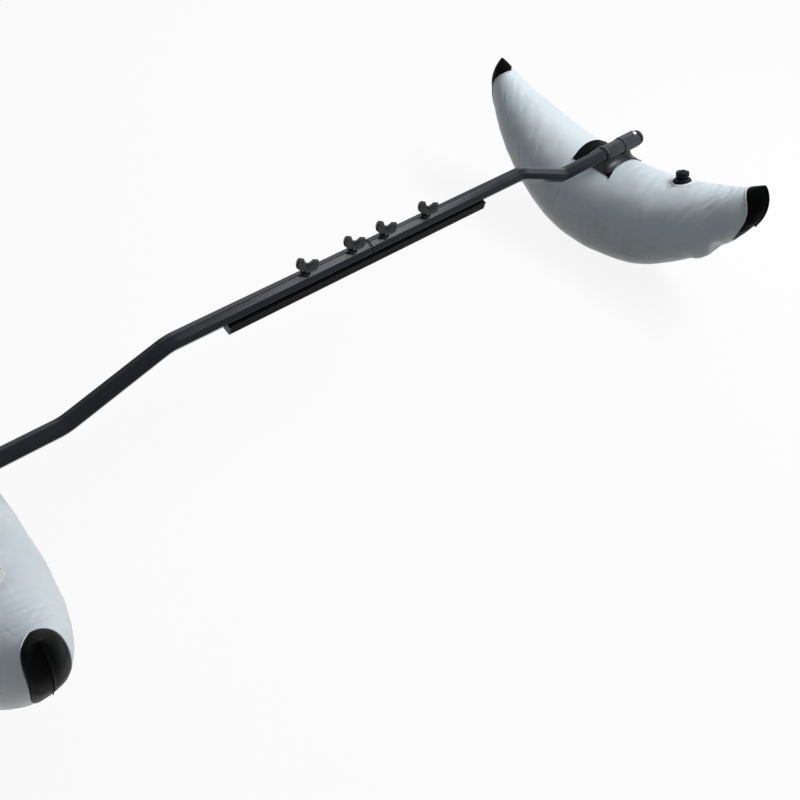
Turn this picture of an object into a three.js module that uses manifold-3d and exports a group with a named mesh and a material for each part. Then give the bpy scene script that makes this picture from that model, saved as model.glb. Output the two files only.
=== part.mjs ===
// Kayak outrigger kit: a slotted crossbar, two bent octagonal arms clamped to it by wing knobs,
// and an inflatable float socketed on the outer end of each arm.
// Millimetres, +Z up. X runs along the arms, Y along the floats, with -Y at the valve end.
// The origin is on the ground, midway between the two floats.

import * as THREE from 'three';
import { mergeVertices } from 'three/addons/utils/BufferGeometryUtils.js';
import Module from 'manifold-3d';

const wasm = await Module();
wasm.setup();

// Float: an inflated tube that tapers to an upright edge at both ends
const FLOAT_X = 757;
const FLOAT_LENGTH = 732;
const FLOAT_WIDTH = 209;
const FLOAT_CREST = 232;
const FLOAT_TIP_TOP = 335;
const FLOAT_TIP_BOTTOM = 241;
const FLOAT_TIP_EDGE = 6;
const BELLY_FLAT = 3;
const TIP_SETBACK = 16;
const TIP_TUCK = 6;
const TIP_BULGE = 2;
const TIP_PATCH_LENGTH = 38;
const PATCH_THICKNESS = 1.6;

// Crossbar: a slotted extrusion under the arms
const RAIL_LENGTH = 575;
const RAIL_WIDTH = 30;
const RAIL_HEIGHT = 18;
const RAIL_WALL = 2.4;
const RAIL_LIP = 2.6;
const RAIL_GROOVE = 2.2;
const RAIL_GROOVE_DEPTH = 1.2;

// Socket: a stepped octagonal sleeve on a flared foot, measured to each side of the float's middle
const SOCKET_INBOARD = 57;
const SOCKET_OUTBOARD = 58;
const SOCKET_FIRST_STEP = 60;
const SOCKET_WALL = 2.5;
const SOCKET_STEP_RISE = 2;
const WEB_SETBACK = 8;
const FOOT_BACK = 50;
const FOOT_RIM = 1.2;
const SOCKET_START = FLOAT_X - SOCKET_INBOARD;
const SOCKET_STEP = SOCKET_START + SOCKET_FIRST_STEP;
const SOCKET_END = FLOAT_X + SOCKET_OUTBOARD;

// Patch welded to the float under the foot
const PATCH_LENGTH = 118;
const PATCH_FRONT = 30;
const PATCH_BACK = 74;
const PATCH_BORDER = 5;
const PATCH_BOW = 10;

// Arm: octagonal tube with an edge up, level on the crossbar, then a slanted drop, then level through
// the float's socket
const ARM_FLATS = 27.5;
const ARM_WALL = 2;
const ARM_DROP = 78;
const ARM_SLANT_RUN = 168;
const innerRunShare = 0.4356;
const ARM_LEVEL_RUNS = SOCKET_START - RAIL_LENGTH / 2 - ARM_SLANT_RUN;
const ARM_INNER_BEND = RAIL_LENGTH / 2 + innerRunShare * ARM_LEVEL_RUNS;
const ARM_OUTER_BEND = ARM_INNER_BEND + ARM_SLANT_RUN;
const ARM_BEND_RADIUS = 55;
const ARM_PAST_SOCKET = 5;
const ARM_GAP = 3;
const ARM_RISE = 29;
const ARM_FORWARD = 8;
const ARM_LEAN = THREE.MathUtils.degToRad(13.6);
const ARM_END = SOCKET_END + ARM_PAST_SOCKET;
const ARM_AXIS_Z = FLOAT_CREST + ARM_RISE;
const END_CAP_DIAMETER = 34;
const END_CAP_DEPTH = 9;

// Clamps: a T-bolt in the slot, a saddle washer and a wing knob
const CLAMP_INNER_X = 36;
const CLAMP_OUTER_X = 136;
const STUD_DIAMETER = 6;
const NUT_WIDTH = 13;
const NUT_LENGTH = 20;
const NUT_HEIGHT = 5;
const WASHER_DIAMETER = 17;
const WASHER_THICKNESS = 1.5;
const KNOB_SPAN = 38;
const KNOB_HEIGHT = 28;
const KNOB_TURNED = THREE.MathUtils.degToRad(-35);
const KNOB_TRAVEL = 3;
const THREAD_KEPT = 6;

// Snap button that holds the socket on the arm
const BUTTON_INSET = 12;
const BUTTON_DIAMETER = 9;
const BUTTON_TRAVEL = 4;
const BUTTON_FLANGE = 2.4;
const BUTTON_X = SOCKET_END - BUTTON_INSET;

// Valve: a skirted neck welded to the float, a sprung core, and a screw cap on a tether
const VALVE_OFFSET = 178;
const VALVE_DIAMETER = 38;
const VALVE_NECK_DIAMETER = 19;
const VALVE_WALL = 2;
const VALVE_FLOOR = 3;
const VALVE_SINK = 7;
const SKIRT_HEIGHT = 7;
const WELD_WIDTH = 6;
const WELD_HEIGHT = 1.6;
const CORE_TRAVEL = 3;
const CAP_DIAMETER = 24;
const CAP_TRAVEL = 3.75;
const CAP_LAP = 4.25;
const CAP_CROWN = 7;
const TETHER_THICKNESS = 1.4;
const TETHER_WIDTH = 4;

// Gaps between pieces
const SEAT_GAP = 0.3;
const SLIDE_CLEARANCE = 0.4;
const TURN_CLEARANCE = 0.5;
const CUT_OVERRUN = 5;

const OCTAGON_SIDES = 8;
const ROUND_SIDES = 16;
const KNOB_SIDES = 14;
const SMALL_SIDES = 12;

// The tube's edge rests in the mouth of the crossbar's slot
const CORNER_SLOPE = Math.tan(Math.PI / OCTAGON_SIDES);
const SLOT_MOUTH = STUD_DIAMETER / 2 + SLIDE_CLEARANCE;
const AXIS_ON_RAIL = cornerReach(ARM_FLATS + 2 * SEAT_GAP) - SLOT_MOUTH * CORNER_SLOPE;
const EDGE_IN_SLOT = cornerReach(ARM_FLATS) - AXIS_ON_RAIL;

const SIDES = [{ name: 'left', sign: -1 }, { name: 'right', sign: 1 }];

const MATERIALS = {
  tube: { color: 0x0c0d10, roughness: 0.25, metalness: 0.6 },
  rail: { color: 0x15161a, roughness: 0.42, metalness: 0.7 },
  moulded: { color: 0x0d0e11, roughness: 0.5, metalness: 0 },
  steel: { color: 0xb9bdc2, roughness: 0.3, metalness: 1 },
  skin: { color: 0xdfe7ec, roughness: 0.32, metalness: 0 },
  patch: { color: 0x101115, roughness: 0.55, metalness: 0 },
  weld: { color: 0xcdd8de, roughness: 0.4, metalness: 0 },
};

// Turns every face outward.
function outward(geometry) {
  const point = geometry.attributes.position;
  const index = geometry.index;
  const a = new THREE.Vector3();
  const b = new THREE.Vector3();
  const c = new THREE.Vector3();
  let volume = 0;
  for (let i = 0; i < index.count; i += 3) {
    a.fromBufferAttribute(point, index.getX(i));
    b.fromBufferAttribute(point, index.getX(i + 1));
    c.fromBufferAttribute(point, index.getX(i + 2));
    volume += a.dot(b.cross(c));
  }
  if (volume < 0) {
    for (let i = 0; i < index.count; i += 3) {
      const first = index.getX(i);
      index.setX(i, index.getX(i + 1));
      index.setX(i + 1, first);
    }
  }
  geometry.computeVertexNormals();
  return geometry;
}

// The faces of a flat or curved end, in strips across the ring from one of its points to the far one.
function stripCap(start, sides, first) {
  const faces = [];
  const at = (i) => start + (i + sides) % sides;
  for (let k = 0; k < sides / 2; k += 1) {
    const [a, b, c, d] = [at(first + k), at(first + k + 1), at(first - k), at(first - k - 1)];
    if (b !== d) {
      faces.push([a, b, d]);
    }
    if (a !== c) {
      faces.push([a, d, c]);
    }
  }
  return faces;
}

// A skin over a row of closed rings, either joined end to end or capped at both ends, from the ring's
// middle or in strips from one of its points.
function loft(rings, joined = false, stripFrom = null) {
  const sides = rings[0].length;
  const positions = rings.flat().flatMap((p) => [p.x, p.y, p.z]);
  const index = [];
  const spans = joined ? rings.length : rings.length - 1;
  for (let i = 0; i < spans; i += 1) {
    const next = (i + 1) % rings.length;
    for (let j = 0; j < sides; j += 1) {
      const k = (j + 1) % sides;
      const quad = [i * sides + j, i * sides + k, next * sides + k, next * sides + j];
      index.push(quad[0], quad[1], quad[2], quad[0], quad[2], quad[3]);
    }
  }
  if (!joined && stripFrom !== null) {
    for (const [ring, flip] of [[0, true], [rings.length - 1, false]]) {
      for (const [a, b, c] of stripCap(ring * sides, sides, stripFrom)) {
        index.push(...(flip ? [a, c, b] : [a, b, c]));
      }
    }
  }
  if (!joined && stripFrom === null) {
    for (const [ring, flip] of [[0, true], [rings.length - 1, false]]) {
      const centre = new THREE.Vector3();
      rings[ring].forEach((p) => centre.add(p));
      centre.divideScalar(sides);
      const hub = positions.length / 3;
      positions.push(centre.x, centre.y, centre.z);
      for (let j = 0; j < sides; j += 1) {
        const from = ring * sides + j;
        const to = ring * sides + (j + 1) % sides;
        index.push(...(flip ? [hub, to, from] : [hub, from, to]));
      }
    }
  }
  const geometry = new THREE.BufferGeometry();
  geometry.setAttribute('position', new THREE.Float32BufferAttribute(positions, 3));
  geometry.setIndex(index);
  return outward(geometry);
}

function toSolid(geometry) {
  const bare = geometry.clone();
  bare.deleteAttribute('normal');
  bare.deleteAttribute('uv');
  const welded = mergeVertices(bare);
  return new wasm.Manifold(new wasm.Mesh({
    numProp: 3,
    vertProperties: new Float32Array(welded.attributes.position.array),
    triVerts: new Uint32Array(welded.index.array),
  }));
}

function toGeometry(solid) {
  const mesh = solid.getMesh();
  const geometry = new THREE.BufferGeometry();
  geometry.setAttribute('position', new THREE.BufferAttribute(new Float32Array(mesh.vertProperties), 3));
  geometry.setIndex(new THREE.BufferAttribute(new Uint32Array(mesh.triVerts), 1));
  geometry.computeVertexNormals();
  return geometry;
}

function joinAll(...geometries) {
  return toGeometry(geometries.map(toSolid).reduce((sum, next) => sum.add(next)));
}

function cutAll(geometry, ...cutters) {
  return toGeometry(cutters.map(toSolid).reduce((rest, next) => rest.subtract(next), toSolid(geometry)));
}

function mirrored(geometry, sign) {
  const copy = geometry.clone();
  if (sign > 0) {
    return copy;
  }
  copy.deleteAttribute('normal');
  copy.deleteAttribute('uv');
  const welded = mergeVertices(copy);
  welded.scale(-1, 1, 1);
  return outward(welded);
}

// A flat outline in Y and Z, drawn out along X from one place to another.
function extrudeAlongX(shape, from, to, bevel = {}) {
  const geometry = new THREE.ExtrudeGeometry(shape, { depth: to - from, bevelEnabled: false, ...bevel });
  const basis = new THREE.Matrix4().makeBasis(
    new THREE.Vector3(0, 1, 0),
    new THREE.Vector3(0, 0, 1),
    new THREE.Vector3(1, 0, 0),
  );
  geometry.applyMatrix4(basis);
  geometry.translate(from, 0, 0);
  return geometry;
}

function uprightCylinder(radius, from, to, sides = ROUND_SIDES) {
  const geometry = new THREE.CylinderGeometry(radius, radius, to - from, sides);
  geometry.rotateX(Math.PI / 2);
  geometry.translate(0, 0, (from + to) / 2);
  return geometry;
}

// A profile of radius and height turned about the Z axis.
function turned(profile, sides = ROUND_SIDES) {
  const geometry = new THREE.LatheGeometry(profile.map(([r, z]) => new THREE.Vector2(r, z)), sides);
  geometry.rotateX(Math.PI / 2);
  geometry.deleteAttribute('normal');
  geometry.deleteAttribute('uv');
  return outward(mergeVertices(geometry));
}

// From the middle of an octagon to its corners.
function cornerReach(flats) {
  return flats / 2 / Math.cos(Math.PI / OCTAGON_SIDES);
}

function octagon(flats) {
  const radius = cornerReach(flats);
  return Array.from({ length: OCTAGON_SIDES }, (_, i) => {
    const angle = i * 2 * Math.PI / OCTAGON_SIDES;
    return new THREE.Vector2(radius * Math.cos(angle), radius * Math.sin(angle));
  });
}

function rectangle(width, height) {
  return [[1, 1], [-1, 1], [-1, -1], [1, -1]].map(([a, b]) => new THREE.Vector2(a * width / 2, b * height / 2));
}

// Straight runs in the XZ plane joined by arcs.
function bentPath(corners, radius, steps) {
  const path = [corners[0].clone()];
  for (let i = 1; i < corners.length - 1; i += 1) {
    const into = corners[i].clone().sub(corners[i - 1]).normalize();
    const out = corners[i + 1].clone().sub(corners[i]).normalize();
    const turn = Math.acos(THREE.MathUtils.clamp(into.dot(out), -1, 1));
    const side = out.clone().addScaledVector(into, -into.dot(out)).normalize();
    const start = corners[i].clone().addScaledVector(into, -radius * Math.tan(turn / 2));
    for (let k = 0; k <= steps; k += 1) {
      const angle = turn * k / steps;
      path.push(start.clone()
        .addScaledVector(into, radius * Math.sin(angle))
        .addScaledVector(side, radius * (1 - Math.cos(angle))));
    }
  }
  path.push(corners[corners.length - 1].clone());
  return path;
}

// Rings of one outline carried along a path in the XZ plane, mitred at each point.
function ringsAlong(path, outline) {
  return path.map((point, i) => {
    const into = point.clone().sub(path[Math.max(i - 1, 0)]);
    const out = path[Math.min(i + 1, path.length - 1)].clone().sub(point);
    if (i === 0) {
      into.copy(out);
    }
    if (i === path.length - 1) {
      out.copy(into);
    }
    into.normalize();
    out.normalize();
    const along = into.clone().add(out).normalize();
    const normal = new THREE.Vector2(-along.y, along.x);
    const stretch = 1 / along.dot(into);
    return outline.map((p) => new THREE.Vector3(
      point.x + normal.x * p.y * stretch,
      p.x,
      point.y + normal.y * p.y * stretch,
    ));
  });
}

function piece(name, geometry, look) {
  const mesh = new THREE.Mesh(geometry, new THREE.MeshStandardMaterial(MATERIALS[look]));
  mesh.name = name;
  return mesh;
}

// Float surface: the crest, keel and half width follow a power of the distance from the middle.

const CREST_POWER = 2;
const BELLY_POWER = 2.25;
const WIDTH_POWER = 1.7;
const WIDTH_ROUNDING = 0.545;
const SECTION_POWER = 2.08;
const TIP_SWEEP_POWER = 10;
const FLOAT_AROUND = 24;
const FLOAT_BODY_STEPS = 11;
const FLOAT_TIP_STEPS = 4;
const tipBorderShare = 1 - TIP_PATCH_LENGTH / (FLOAT_LENGTH / 2);

function crestAt(share) {
  return FLOAT_CREST + (FLOAT_TIP_TOP - FLOAT_CREST) * Math.abs(share) ** CREST_POWER;
}

function keelAt(share) {
  return -BELLY_FLAT + (FLOAT_TIP_BOTTOM + BELLY_FLAT) * Math.abs(share) ** BELLY_POWER;
}

function halfWidthAt(share) {
  const swell = Math.max(0, 1 - Math.abs(share) ** WIDTH_POWER) ** WIDTH_ROUNDING;
  return (FLOAT_TIP_EDGE + (FLOAT_WIDTH - FLOAT_TIP_EDGE) * swell) / 2;
}

// Stations along half the float, as shares of its half length.
function bodyShares() {
  return Array.from({ length: FLOAT_BODY_STEPS }, (_, i) => tipBorderShare * i / FLOAT_BODY_STEPS);
}

// Stations under a tip patch, close together where the float narrows to its edge.
function tipShares() {
  return Array.from({ length: FLOAT_TIP_STEPS + 1 }, (_, i) => (
    tipBorderShare + (1 - tipBorderShare) * Math.sin(Math.PI / 2 * i / FLOAT_TIP_STEPS)
  ));
}

// A ring of the float. Near the tips it bulges at mid height and is set back above and below, so that
// the tip's edge is a curve.
function floatRing(share, offset) {
  const top = crestAt(share) + offset;
  const bottom = keelAt(share) - offset;
  const half = halfWidthAt(share) + offset;
  const past = Math.max(0, (Math.abs(share) - tipBorderShare) / (1 - tipBorderShare));
  const y = share * FLOAT_LENGTH / 2 + Math.sign(share) * offset * past;
  const sweep = Math.sign(share) * Math.abs(share) ** TIP_SWEEP_POWER;
  return Array.from({ length: FLOAT_AROUND }, (_, i) => {
    const angle = 2 * Math.PI * i / FLOAT_AROUND;
    const across = Math.sign(Math.cos(angle)) * Math.abs(Math.cos(angle)) ** (2 / SECTION_POWER);
    const up = Math.sign(Math.sin(angle)) * Math.abs(Math.sin(angle)) ** (2 / SECTION_POWER);
    const z = (top + bottom) / 2 + up * (top - bottom) / 2;
    const shift = sweep * (TIP_BULGE - (up > 0 ? TIP_SETBACK : TIP_TUCK) * up ** 2);
    return new THREE.Vector3(FLOAT_X + half * across, y + shift, Math.max(z, 0));
  });
}

function floatBody(offset = 0) {
  const half = [...bodyShares(), ...tipShares()];
  const shares = [...half.slice(1).reverse().map((share) => -share), ...half];
  return loft(shares.map((share) => floatRing(share, offset)), false, FLOAT_AROUND / 4);
}

// Height of the float's upper surface at a place on it.
function topAt(x, y) {
  const share = y / (FLOAT_LENGTH / 2);
  const aside = Math.min(Math.abs(x - FLOAT_X) / halfWidthAt(share), 1);
  const rise = (crestAt(share) - keelAt(share)) / 2;
  return crestAt(share) - rise * (1 - (1 - aside ** SECTION_POWER) ** (1 / SECTION_POWER));
}

// A thin cover over one end of the float, closed round the tip's upright edge.
function tipPatch(end) {
  const shares = tipShares().map((share) => end * share);
  const inside = shares.map((share) => floatRing(share, SEAT_GAP));
  const outside = shares.map((share) => floatRing(share, SEAT_GAP + PATCH_THICKNESS));
  const rings = end > 0 ? [...outside.reverse(), ...inside] : [...inside.reverse(), ...outside];
  return loft(rings, false, FLOAT_AROUND / 4);
}

function armPath() {
  const corners = [
    [ARM_GAP / 2, ARM_DROP],
    [ARM_INNER_BEND, ARM_DROP],
    [ARM_OUTER_BEND, 0],
    [ARM_END, 0],
  ];
  const bendSteps = 4;
  return bentPath(corners.map(([x, z]) => new THREE.Vector2(x, z)), ARM_BEND_RADIUS, bendSteps);
}

function armTube() {
  const path = armPath();
  const outer = ringsAlong(path, octagon(ARM_FLATS));
  const inner = ringsAlong(path, octagon(ARM_FLATS - 2 * ARM_WALL)).reverse();
  const studHole = STUD_DIAMETER / 2 + TURN_CLEARANCE;
  const holes = [CLAMP_INNER_X, CLAMP_OUTER_X].map((x) => {
    const reach = cornerReach(ARM_FLATS) + CUT_OVERRUN;
    const hole = uprightCylinder(studHole, ARM_DROP - reach, ARM_DROP + reach, SMALL_SIDES);
    return hole.translate(x, 0, 0);
  });
  return cutAll(loft([...outer, ...inner], true), ...holes, buttonHole(cornerReach(ARM_FLATS)));
}

// The cutter for the snap button's hole, from the arm's axis up through a wall at this height.
function buttonHole(wallTop) {
  return uprightCylinder(BUTTON_HOLE, 0, wallTop + CUT_OVERRUN, SMALL_SIDES).translate(BUTTON_X, 0, 0);
}

// Plug pressed into the arm's inner end, with a thin head over the tube's wall.
function innerPlug() {
  const head = 1;
  const depth = 14;
  const start = ARM_GAP / 2;
  const body = octagon(ARM_FLATS - 2 * ARM_WALL - 2 * SEAT_GAP);
  const path = [new THREE.Vector2(start, ARM_DROP), new THREE.Vector2(start + depth, ARM_DROP)];
  const taperShares = [1, 0.94];
  const rings = ringsAlong(path, body).map((ring, i) => ring.map((p) => new THREE.Vector3(
    p.x,
    p.y * taperShares[i],
    ARM_DROP + (p.z - ARM_DROP) * taperShares[i],
  )));
  const lip = ringsAlong(
    [new THREE.Vector2(start - head - SEAT_GAP, ARM_DROP), new THREE.Vector2(start - SEAT_GAP, ARM_DROP)],
    octagon(ARM_FLATS - ARM_WALL),
  );
  const neck = ringsAlong(
    [new THREE.Vector2(start - head, ARM_DROP), new THREE.Vector2(start + head, ARM_DROP)],
    body,
  );
  return joinAll(loft(lip), loft(neck), loft(rings));
}

// Rounded cap on the arm's outer end: a domed head on an octagonal plug.
function endCap() {
  const radius = END_CAP_DIAMETER / 2;
  const rim = 1.5;
  const plugDepth = 9;
  const face = ARM_END + SEAT_GAP;
  const head = turned([
    [0, 0],
    [radius - rim, 0],
    [radius, rim],
    [radius, END_CAP_DEPTH - 2 * rim],
    [radius - rim, END_CAP_DEPTH - rim / 2],
    [radius - 3 * rim, END_CAP_DEPTH],
    [0, END_CAP_DEPTH],
  ]).rotateY(Math.PI / 2).translate(face, 0, 0);
  const plug = loft(ringsAlong(
    [new THREE.Vector2(ARM_END - plugDepth, 0), new THREE.Vector2(face + rim, 0)],
    octagon(ARM_FLATS - 2 * ARM_WALL - 2 * SEAT_GAP),
  ));
  return joinAll(head, plug);
}

function railShape() {
  const half = RAIL_WIDTH / 2;
  const chamfer = 1;
  const grooveShares = [0.3, 0.62];
  const cavity = NUT_WIDTH / 2 + SLIDE_CLEARANCE;
  const floor = -RAIL_LIP - NUT_HEIGHT - 2 * SLIDE_CLEARANCE;
  const side = [[half - chamfer, 0], [half, -chamfer]];
  for (const share of grooveShares) {
    const middle = -RAIL_HEIGHT * share;
    side.push([half, middle + RAIL_GROOVE / 2]);
    side.push([half - RAIL_GROOVE_DEPTH, middle + (RAIL_GROOVE - RAIL_GROOVE_DEPTH) / 2]);
    side.push([half - RAIL_GROOVE_DEPTH, middle - (RAIL_GROOVE - RAIL_GROOVE_DEPTH) / 2]);
    side.push([half, middle - RAIL_GROOVE / 2]);
  }
  side.push([half, -RAIL_HEIGHT + chamfer]);
  side.push([half - chamfer, -RAIL_HEIGHT]);
  const slot = [[SLOT_MOUTH, 0], [SLOT_MOUTH, -RAIL_LIP], [cavity, -RAIL_LIP], [cavity, floor]];
  const right = [...slot.reverse(), ...side];
  const left = right.map(([y, z]) => [-y, z]).reverse();
  const shape = new THREE.Shape([...right, ...left].map(([y, z]) => new THREE.Vector2(y, z)));
  shape.holes.push(chamberPath(0));
  return shape;
}

// The closed chamber under the slot; the end caps' plugs follow it with a gap.
function chamberPath(gap) {
  const half = RAIL_WIDTH / 2 - 1.5 * RAIL_WALL - gap;
  const top = -RAIL_LIP - NUT_HEIGHT - 2 * SLIDE_CLEARANCE - RAIL_WALL - gap;
  const bottom = -RAIL_HEIGHT + RAIL_WALL + gap;
  return new THREE.Path([
    new THREE.Vector2(-half, bottom),
    new THREE.Vector2(half, bottom),
    new THREE.Vector2(half, top),
    new THREE.Vector2(-half, top),
  ]);
}

function rail() {
  return extrudeAlongX(railShape(), -RAIL_LENGTH / 2, RAIL_LENGTH / 2);
}

function railCap() {
  const thickness = 3;
  const bevel = 1;
  const plugDepth = 12;
  const half = RAIL_WIDTH / 2 - bevel;
  const top = -EDGE_IN_SLOT - SEAT_GAP - bevel;
  const face = new THREE.Shape([
    new THREE.Vector2(-half, -RAIL_HEIGHT + bevel),
    new THREE.Vector2(half, -RAIL_HEIGHT + bevel),
    new THREE.Vector2(half, top),
    new THREE.Vector2(-half, top),
  ]);
  const start = RAIL_LENGTH / 2 + SEAT_GAP;
  const plate = extrudeAlongX(face, start + bevel, start + thickness - bevel, {
    bevelEnabled: true,
    bevelThickness: bevel,
    bevelSize: bevel,
    bevelSegments: 2,
  });
  const plug = new THREE.Shape(chamberPath(SEAT_GAP).getPoints());
  return joinAll(plate, extrudeAlongX(plug, RAIL_LENGTH / 2 - plugDepth, start + thickness / 2));
}

// Clamps, each about its own upright axis with zero at the crossbar's top

const ARM_TOP_ON_RAIL = AXIS_ON_RAIL + cornerReach(ARM_FLATS);
const STUD_ENGAGED = THREAD_KEPT + KNOB_TRAVEL;
const STUD_TOP = ARM_TOP_ON_RAIL + SEAT_GAP + WASHER_THICKNESS + STUD_ENGAGED;

function tBolt() {
  const corner = 1.5;
  const half = NUT_WIDTH / 2;
  const bottom = -RAIL_LIP - NUT_HEIGHT - SEAT_GAP;
  const top = -RAIL_LIP - SEAT_GAP;
  const outline = new THREE.Shape([
    new THREE.Vector2(-half + corner, bottom),
    new THREE.Vector2(half - corner, bottom),
    new THREE.Vector2(half, bottom + corner),
    new THREE.Vector2(half, top),
    new THREE.Vector2(-half, top),
    new THREE.Vector2(-half, bottom + corner),
  ]);
  const head = extrudeAlongX(outline, -NUT_LENGTH / 2, NUT_LENGTH / 2);
  const chamfer = 0.8;
  const radius = STUD_DIAMETER / 2;
  const stud = turned([
    [0, bottom + corner],
    [radius, bottom + corner],
    [radius, STUD_TOP - chamfer],
    [radius - chamfer, STUD_TOP],
    [0, STUD_TOP],
  ], SMALL_SIDES);
  return joinAll(head, stud);
}

// Saddle washer: flat on top, hollowed below to sit astride the tube's edge.
function washer() {
  const inner = STUD_DIAMETER / 2 + TURN_CLEARANCE;
  const outer = WASHER_DIAMETER / 2;
  const skirtShare = 0.8;
  const skirt = -outer * CORNER_SLOPE * skirtShare;
  const ring = turned([
    [inner, skirt],
    [outer, skirt],
    [outer, WASHER_THICKNESS],
    [inner, WASHER_THICKNESS],
    [inner, skirt],
  ], SMALL_SIDES);
  const axis = -SEAT_GAP - cornerReach(ARM_FLATS);
  const tube = loft(ringsAlong(
    [new THREE.Vector2(-WASHER_DIAMETER, axis), new THREE.Vector2(WASHER_DIAMETER, axis)],
    octagon(ARM_FLATS + 2 * SEAT_GAP),
  ));
  return cutAll(ring, tube);
}

// Wing knob: a waisted hub with two wings that flare upward and leave a notch between them.
const hubShares = [
  [0, 0], [0.34, 0], [0.38, 0.08], [0.42, 0.2], [0.5, 0.34], [0.46, 0.46], [0.26, 0.54], [0, 0.56],
];
const wingShares = [
  [0.1, 0.22], [0.5, 0.2], [0.78, 0.42], [0.98, 0.66], [1, 0.78], [0.9, 0.96],
  [0.8, 1], [0.6, 0.98], [0.46, 0.86], [0.3, 0.6], [0.1, 0.48],
];

function wingKnob() {
  const span = KNOB_SPAN / 2;
  const hub = turned(hubShares.map(([across, up]) => [span * across, KNOB_HEIGHT * up]), KNOB_SIDES);
  const bevel = KNOB_HEIGHT / 16;
  const thickness = KNOB_SPAN / 4;
  const wings = [1, -1].map((sign) => {
    const outline = wingShares.map(([across, up]) => new THREE.Vector2(
      sign * (bevel + across * (span - 2 * bevel)),
      bevel + up * (KNOB_HEIGHT - 2 * bevel),
    ));
    const wing = new THREE.ExtrudeGeometry(new THREE.Shape(outline), {
      depth: thickness,
      bevelEnabled: true,
      bevelThickness: bevel,
      bevelSize: bevel,
      bevelSegments: 1,
    });
    return wing.rotateX(Math.PI / 2).translate(0, thickness / 2, 0);
  });
  const bore = uprightCylinder(
    STUD_DIAMETER / 2 + TURN_CLEARANCE,
    -CUT_OVERRUN,
    STUD_ENGAGED + SEAT_GAP,
    SMALL_SIDES,
  );
  return cutAll(joinAll(hub, ...wings), bore).rotateZ(KNOB_TURNED);
}

// Snap button, held under the tube's top edge by a flange that just fits between the slanted walls
const BUTTON_HOLE = BUTTON_DIAMETER / 2 + TURN_CLEARANCE;
const FLANGE_RADIUS = BUTTON_HOLE + SEAT_GAP;
const TUBE_GAP_REACH = cornerReach(ARM_FLATS - 2 * ARM_WALL - 2 * SEAT_GAP);
const BUTTON_SEAT = TUBE_GAP_REACH - FLANGE_RADIUS * CORNER_SLOPE;
const SOCKET_FLATS = ARM_FLATS + 2 * SLIDE_CLEARANCE + 2 * SOCKET_WALL;
const SOCKET_STEPPED_FLATS = SOCKET_FLATS + 2 * SOCKET_STEP_RISE;

function snapButton() {
  const radius = BUTTON_DIAMETER / 2;
  const top = cornerReach(SOCKET_STEPPED_FLATS) + BUTTON_TRAVEL;
  const dome = radius / 3;
  return turned([
    [0, BUTTON_SEAT - BUTTON_FLANGE],
    [FLANGE_RADIUS, BUTTON_SEAT - BUTTON_FLANGE],
    [FLANGE_RADIUS, BUTTON_SEAT],
    [radius, BUTTON_SEAT],
    [radius, top - dome],
    [radius - dome / 2, top - dome / 4],
    [radius - 2 * dome, top],
    [0, top],
  ], SMALL_SIDES).translate(BUTTON_X, 0, 0);
}

// Leaf spring folded to a V, one leg on the tube's floor and one under the button.
function snapSpring() {
  const leaf = 0.8;
  const width = BUTTON_DIAMETER;
  const reach = 50;
  const foldRadius = 1.6;
  const foldSteps = 6;
  const bottom = leaf / 2 + width / 2 * CORNER_SLOPE - TUBE_GAP_REACH;
  const top = BUTTON_SEAT - BUTTON_FLANGE - leaf;
  const tip = BUTTON_X + width / 4;
  const corners = [
    new THREE.Vector2(tip, bottom),
    new THREE.Vector2(tip - reach, (bottom + top) / 2),
    new THREE.Vector2(tip, top),
  ];
  return loft(ringsAlong(bentPath(corners, foldRadius, foldSteps), rectangle(width, leaf)));
}

const armFrame = new THREE.Matrix4()
  .makeTranslation(0, -ARM_FORWARD, ARM_AXIS_Z)
  .multiply(new THREE.Matrix4().makeRotationX(ARM_LEAN));

// The sleeve steps up once along its length; a fine groove runs round its mouth and round the step.
function sleeve() {
  const first = SOCKET_FLATS;
  const second = SOCKET_STEPPED_FLATS;
  const chamfer = 1.2;
  const groove = 1.6;
  const grooveDepth = 0.7;
  const ramp = groove / 3;
  const mouth = SOCKET_START + 2 * chamfer;
  const waist = first - 2 * grooveDepth;
  const stations = [
    [SOCKET_START, first - chamfer],
    [SOCKET_START + chamfer, first],
    [mouth, first],
    [mouth + ramp, waist],
    [mouth + groove, waist],
    [mouth + groove + ramp, first],
    [SOCKET_STEP - groove - ramp, first],
    [SOCKET_STEP - groove, waist],
    [SOCKET_STEP - ramp, waist],
    [SOCKET_STEP, second - chamfer],
    [SOCKET_STEP + chamfer, second],
    [SOCKET_END - chamfer, second],
    [SOCKET_END, second - 2 * chamfer],
  ];
  return loft(stations.map(([x, flats]) => octagon(flats).map((p) => new THREE.Vector3(x, p.x, p.y))));
}

// The foot is a web under the sleeve that flares on all sides to a thin rim on the float.
const FOOT_AROUND = 28;
const FOOT_LEVELS = 6;
const CORNER_POWER = 7;
const FLARE_POWER = 2.6;

function squaredOutline(toOutboard, toInboard, toBack, toFront) {
  return Array.from({ length: FOOT_AROUND }, (_, i) => {
    const angle = 2 * Math.PI * i / FOOT_AROUND;
    const across = Math.sign(Math.cos(angle)) * Math.abs(Math.cos(angle)) ** (2 / CORNER_POWER);
    const along = Math.sign(Math.sin(angle)) * Math.abs(Math.sin(angle)) ** (2 / CORNER_POWER);
    return new THREE.Vector2(
      FLOAT_X + across * (across > 0 ? toOutboard : toInboard),
      along * (along > 0 ? toBack : toFront) - ARM_FORWARD,
    );
  });
}

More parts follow.
